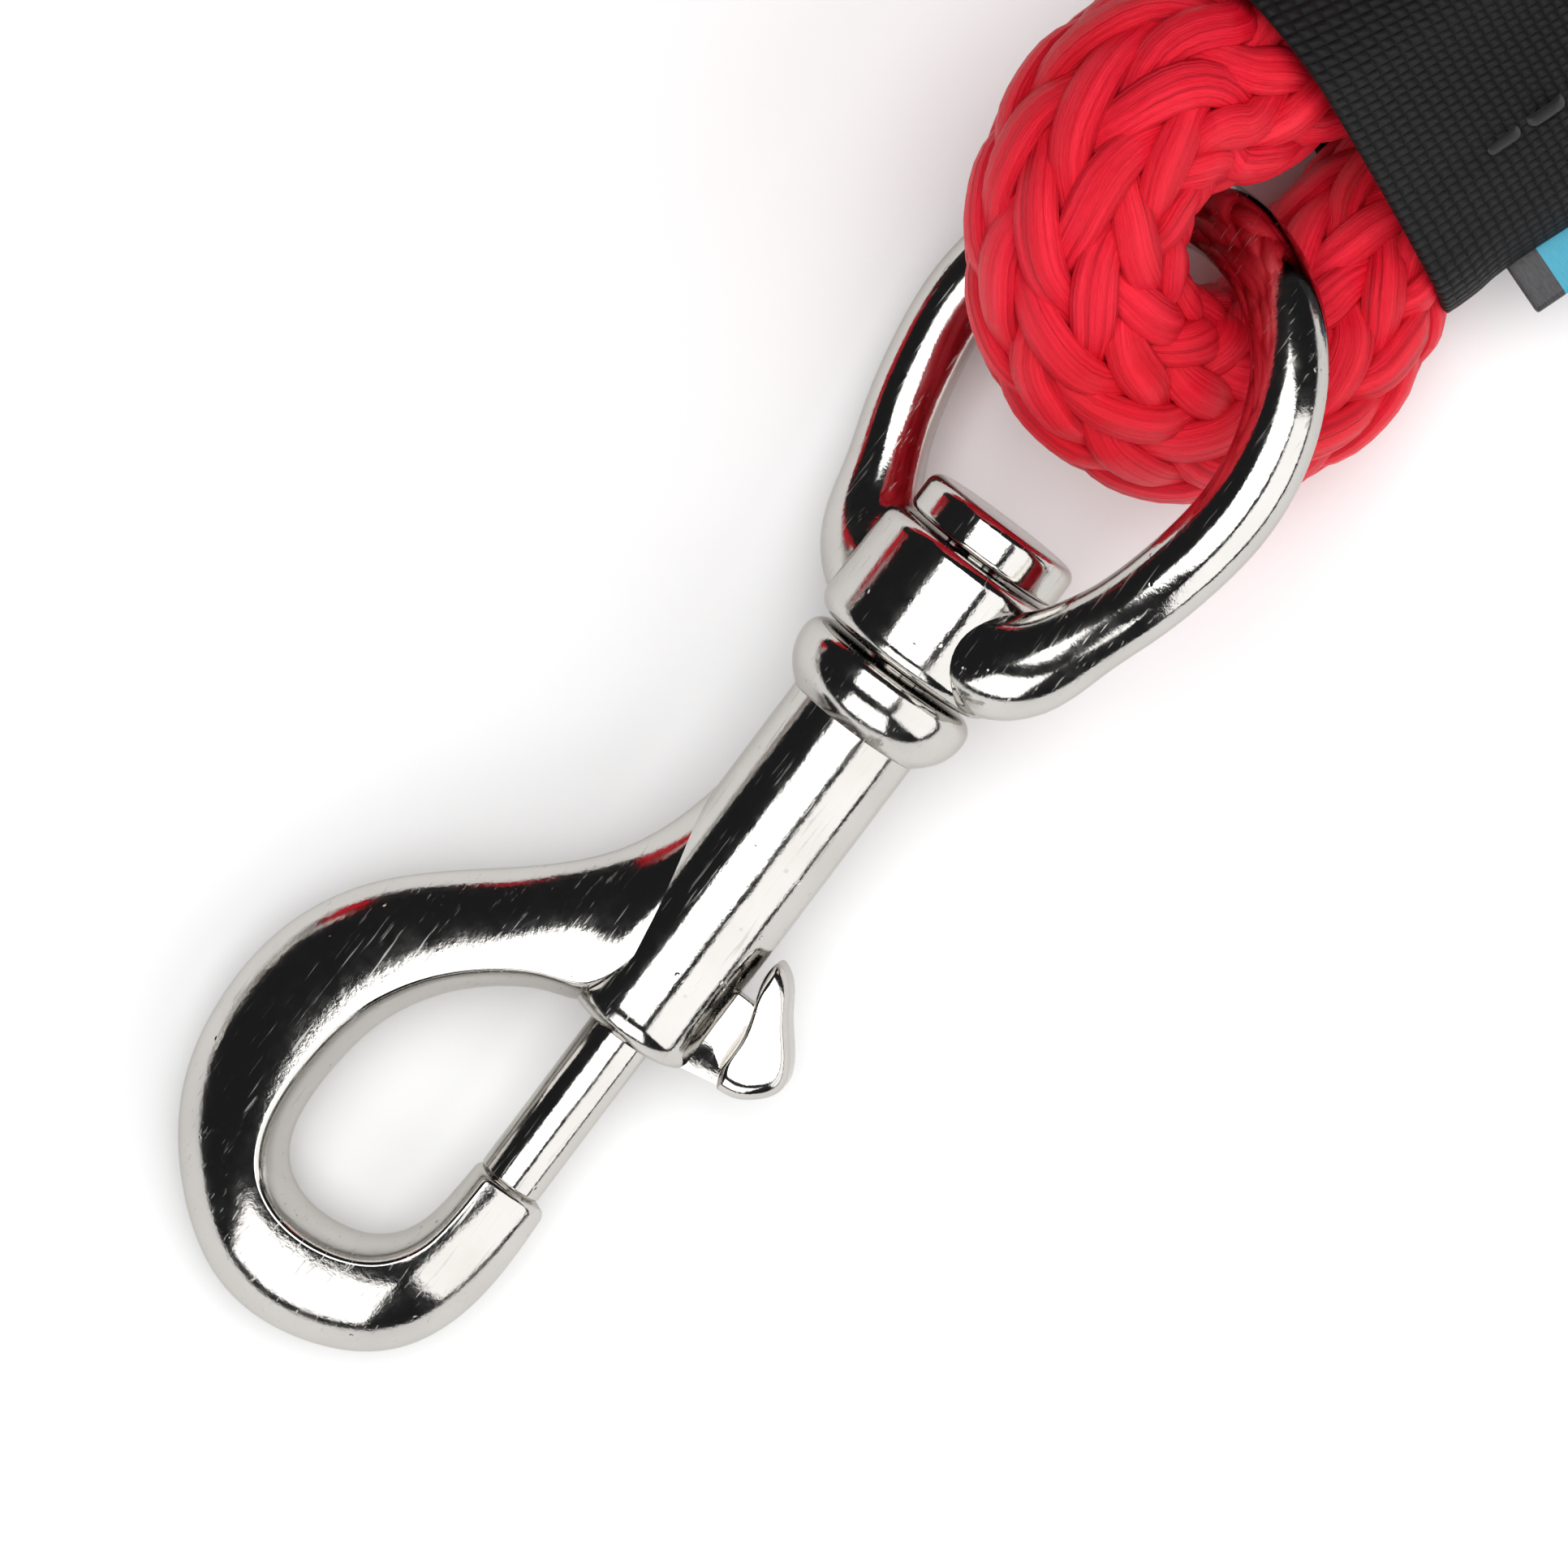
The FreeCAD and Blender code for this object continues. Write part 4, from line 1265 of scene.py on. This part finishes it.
@dataclass
class SprungBolt(EndPart):
    """The bolt, its thumb lever and the spring behind it."""

    radius: float = 2.42
    tip_x: float = -45.1
    tail_x: float = -21.0
    web_half: float = 0.95
    web_bevel: float = 0.15
    knob_half: float = 3.1
    knob_round: float = 1.5
    knob_shrink: float = 0.30
    spring_radius: float = 1.95
    wire_radius: float = 0.3
    wire_sides: int = 10
    spring_turns: int = 9
    turn_steps: int = 28
    spring_gap: float = 0.05
    seat_x: float = -3.0
    travel_keep: float = 0.29
    fin: tuple[Pair, ...] = (
        (-30.35, -7.8), (-30.2, -8.9), (-29.4, -10.3), (-27.5, -11.5), (-25.8, -10.9), (-23.3, -8.9),
        (-20.7, -6.55), (-20.6, -6.0), (-21.3, -5.75), (-23.8, -6.3), (-27.0, -7.1), (-29.8, -7.45),
        (-30.35, -7.8))

    def bolt(self) -> None:
        """Turned rod, web through the slot, and a fin-shaped thumb piece with rounded rims."""
        shape = Shape()
        shape.add(revolved(rounded([
            (self.tip_x, 0.4, 0.0), (self.tip_x, self.radius - 0.35, 0.25),
            (self.tip_x + 0.4, self.radius, 0.25), (self.tail_x - 0.3, self.radius, 0.2),
            (self.tail_x, self.radius - 0.3, 0.2), (self.tail_x, 0.4, 0.0),
        ], closed=False)))
        web = rounded([(-31.6, -1.2, 0.2), (-30.1, -8.3, 0.3), (-24.1, -8.3, 0.3), (-24.1, -1.2, 0.2)])
        inner_half = self.web_half - self.web_bevel
        rim = np.array([(0.93, -self.web_half), (1.0, -inner_half), (1.0, inner_half),
                        (0.93, self.web_half)])
        shape.add(self.slab(web, rim))
        fin = through(np.array(self.fin), 90)[:-1]
        rise = np.linspace(-1, 1, 23)
        z = self.knob_half * np.sin(rise * math.pi / 2)
        beyond = np.clip((np.abs(z) - (self.knob_half - self.knob_round)) / self.knob_round, 0, 1)
        shrink = 1 - self.knob_shrink * (1 - np.sqrt(np.clip(1 - beyond**2, 0, 1)))
        shape.add(self.slab(fin, np.stack([shrink, z], axis=1)))
        self.piece("bolt_and_lever", shape.placed(from_snap(self.side, SNAP_ROLL)), Slot.BOLT, "plunger",
                   "bolt", TURNED_CREASE)

    def slab(self, outline: np.ndarray, rim: np.ndarray) -> np.ndarray:
        """An outline carried up through heights, drawn in towards its middle by a share at each."""
        middle = outline.mean(axis=0)
        flat = middle + rim[:, None, :1] * (outline - middle)[None]
        return spread(flat[..., 0], flat[..., 1], rim[:, 1:])

    def spring(self) -> None:
        """A wire on a helix about the bolt's axis."""
        start = self.tail_x + self.wire_radius + self.spring_gap
        end = self.seat_x - self.wire_radius - self.spring_gap
        turn = np.linspace(0, self.spring_turns * 2 * math.pi, self.spring_turns * self.turn_steps)
        x = np.linspace(start, end, len(turn))
        path = spread(x, self.spring_radius * np.cos(turn), self.spring_radius * np.sin(turn))
        out = spread(0.0, np.cos(turn), np.sin(turn))
        side = np.cross(unit(np.gradient(path, axis=0)), out)
        grid = tube(path, self.wire_radius, self.wire_sides, out, side)
        place = from_snap(self.side, SNAP_ROLL)
        made = self.piece("spring_coil", Shape().add(grid).placed(place), Slot.SPRING, "hook",
                          "bolt_spring", SOFT_CREASE)
        anchor = place.apply(np.array([self.seat_x, 0, 0])) * MM
        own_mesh(made)

    def build(self) -> None:
        """Builds the bolt and its spring."""
        self.bolt()
        self.spring()


@dataclass
class SwivelEye(EndPart):
    """The boss and ring that turn on the headed pin."""

    lean: float = -37.0
    wire: float = 2.75
    wire_sides: int = 40
    root: float = 4.15
    root_reach: float = 8.5
    limb: tuple[Pair, ...] = (
        (5.6, 3.0), (5.7, 6.4), (7.2, 9.0), (10.6, 11.2), (14.2, 12.95), (18.8, 14.45))
    ring_x: float = 24.2
    ring_radius: float = 15.25
    boss_radius: float = 7.35
    hole: float = 2.66
    pin_radius: float = 2.6
    head_radius: float = 6.2
    head: Pair = (10.7, 13.7)

    def eye(self) -> None:
        """The boss is turned; the wire follows one limb, the half ring and the other limb.

        The half ring is a circle, the limbs are cubic splines from the boss to it, and the wire's
        radius falls from the root's to its own, ever more slowly, with the distance from the boss.
        """
        turn = np.radians(np.linspace(-90, 90, 13))
        half_ring = spread(self.ring_x + self.ring_radius * np.cos(turn), self.ring_radius * np.sin(turn))
        limb = np.array(self.limb)
        line = through(np.concatenate([limb * [1, -1], half_ring, limb[::-1]]), 240)
        path = np.concatenate([line, np.zeros((len(line), 1))], axis=1)
        far = np.clip((path[:, 0] - limb[0, 0]) / self.root_reach, 0, 1)
        radius = self.root + (self.wire - self.root) * far * (2 - far)
        shape = Shape().add(bar(path, radius, self.wire_sides))
        shape.add(revolved(rounded([
            (1.2, self.hole, 0.1), (1.2, self.boss_radius, 1.5), (10.4, self.boss_radius, 1.3),
            (10.4, self.hole, 0.1),
        ], steps=12)), ring=True)
        self.piece("ring_casting", shape.placed(from_snap(self.side, self.lean)), Slot.CASTING, "swivel",
                   "swivel_eye", SHARP_CREASE)

    def pin(self) -> None:
        """Turned pin with a spread head."""
        outline = rounded([
            (-3.0, 0.4, 0.0), (-3.0, self.pin_radius, 0.1), (self.head[0], self.pin_radius, 0.1),
            (self.head[0], self.head_radius, 0.55), (self.head[1], self.head_radius, 0.95),
            (self.head[1], 0.4, 0.0),
        ], closed=False, steps=12)
        shape = Shape().add(revolved(outline)).placed(from_snap(self.side, SNAP_ROLL))
        self.piece("pin_turned", shape, Slot.TURNED, "hook", "swivel_pin", TURNED_CREASE)

    def build(self) -> None:
        """Builds the ring and its pin."""
        self.eye()
        self.pin()


# ---------------------------------------------------------------- studio
@dataclass(frozen=True)
class Panel:
    """A soft lamp: where its middle is, what it faces, its size and its power."""

    name: str
    middle: Triple
    target: Triple
    size: Pair
    power: float


@dataclass
class Studio:
    """Pale floor, soft lamps and the camera, straight above the snap."""

    view_centre: Pair = (-10.4, 1.4)
    view_up: Pair = (0.799, 0.602)
    view_width: float = 110.4
    camera_height: float = 0.51
    plane_height: float = 0.010
    sensor: float = 36.0
    surround: float = 0.02
    surround_tone: tuple[float, ...] = (0.9, 0.93, 1.0, 1.0)
    floor_half: float = 3.0
    panels: tuple[Panel, ...] = (
        Panel("overhead", (0.08, 0.02, 1.0), (0.0, 0.0, 0.0), (1.15, 0.95), 10.0),
        Panel("low_side", (0.1, -1.15, 0.75), (0.0, 0.0, 0.05), (1.9, 1.35), 13.0),
        Panel("hook_side", (-1.15, -0.1, 0.62), (0.0, 0.0, 0.02), (1.1, 0.9), 6.5),
    )

    def camera(self) -> None:
        """A camera that looks straight down, turned so that the snap runs to the upper right."""
        data = bpy.data.cameras.new("camera")
        up = unit(np.array([*self.view_up, 0.0]))
        back = np.array([0.0, 0.0, 1.0])
        right = np.cross(up, back)
        centre = from_plan(Side.NEAR).apply(np.array([*self.view_centre, 0.0])) * MM
        data.sensor_width = self.sensor
        data.lens = self.sensor * (self.camera_height - self.plane_height) / (self.view_width * MM)
        data.clip_start = 0.01
        data.dof.use_dof = False
        made = linked("camera", data)
        made.matrix_world = facing(right, up, back, centre * [1, 1, 0] + [0, 0, self.camera_height])
        bpy.context.scene.camera = made

    def lamps(self) -> None:
        """One area lamp for each panel, and a dim surround."""
        for panel in self.panels:
            data = bpy.data.lights.new(panel.name, "AREA")
            data.shape = "RECTANGLE"
            data.size, data.size_y = panel.size
            data.energy = panel.power
            back = unit(np.array(panel.middle) - np.array(panel.target))
            hint = np.array([0.0, 1.0, 0.0]) if abs(back[2]) > 0.9 else np.array([0.0, 0.0, 1.0])
            right = unit(np.cross(hint, back))
            linked(panel.name, data).matrix_world = facing(right, np.cross(back, right), back, panel.middle)
        world = bpy.data.worlds.new("surround")
        world.use_nodes = True
        background = world.node_tree.nodes["Background"].inputs
        background["Color"].default_value = self.surround_tone
        background["Strength"].default_value = self.surround
        bpy.context.scene.world = world

    def floor(self) -> None:
        """A large flat sheet whose top is at nought."""
        half = self.floor_half
        mesh = bpy.data.meshes.new("floor")
        mesh.from_pydata([(-half, -half, 0), (half, -half, 0), (half, half, 0), (-half, half, 0)], [],
                         [(0, 1, 2, 3)])
        mesh.materials.append(PaleFloor().material("pale_floor"))
        linked("floor", mesh)

    def build(self) -> None:
        """Sets up the studio, camera first."""
        bpy.context.scene.view_settings.view_transform = "Standard"
        self.camera()
        self.lamps()
        self.floor()


def main() -> None:
    """Builds the studio, the free rope, then each end."""
    logging.basicConfig(level=logging.INFO, format="%(name)s: %(message)s")
    bench = Bench()
    Studio().build()
    FreeSpan(bench).build()
    for side in Side:
        RopeEnd(bench, side).build()
        HookCasting(bench, side).build()
        SprungBolt(bench, side).build()
        SwivelEye(bench, side).build()
    bpy.context.view_layer.update()


if __name__ == "__main__":
    main()
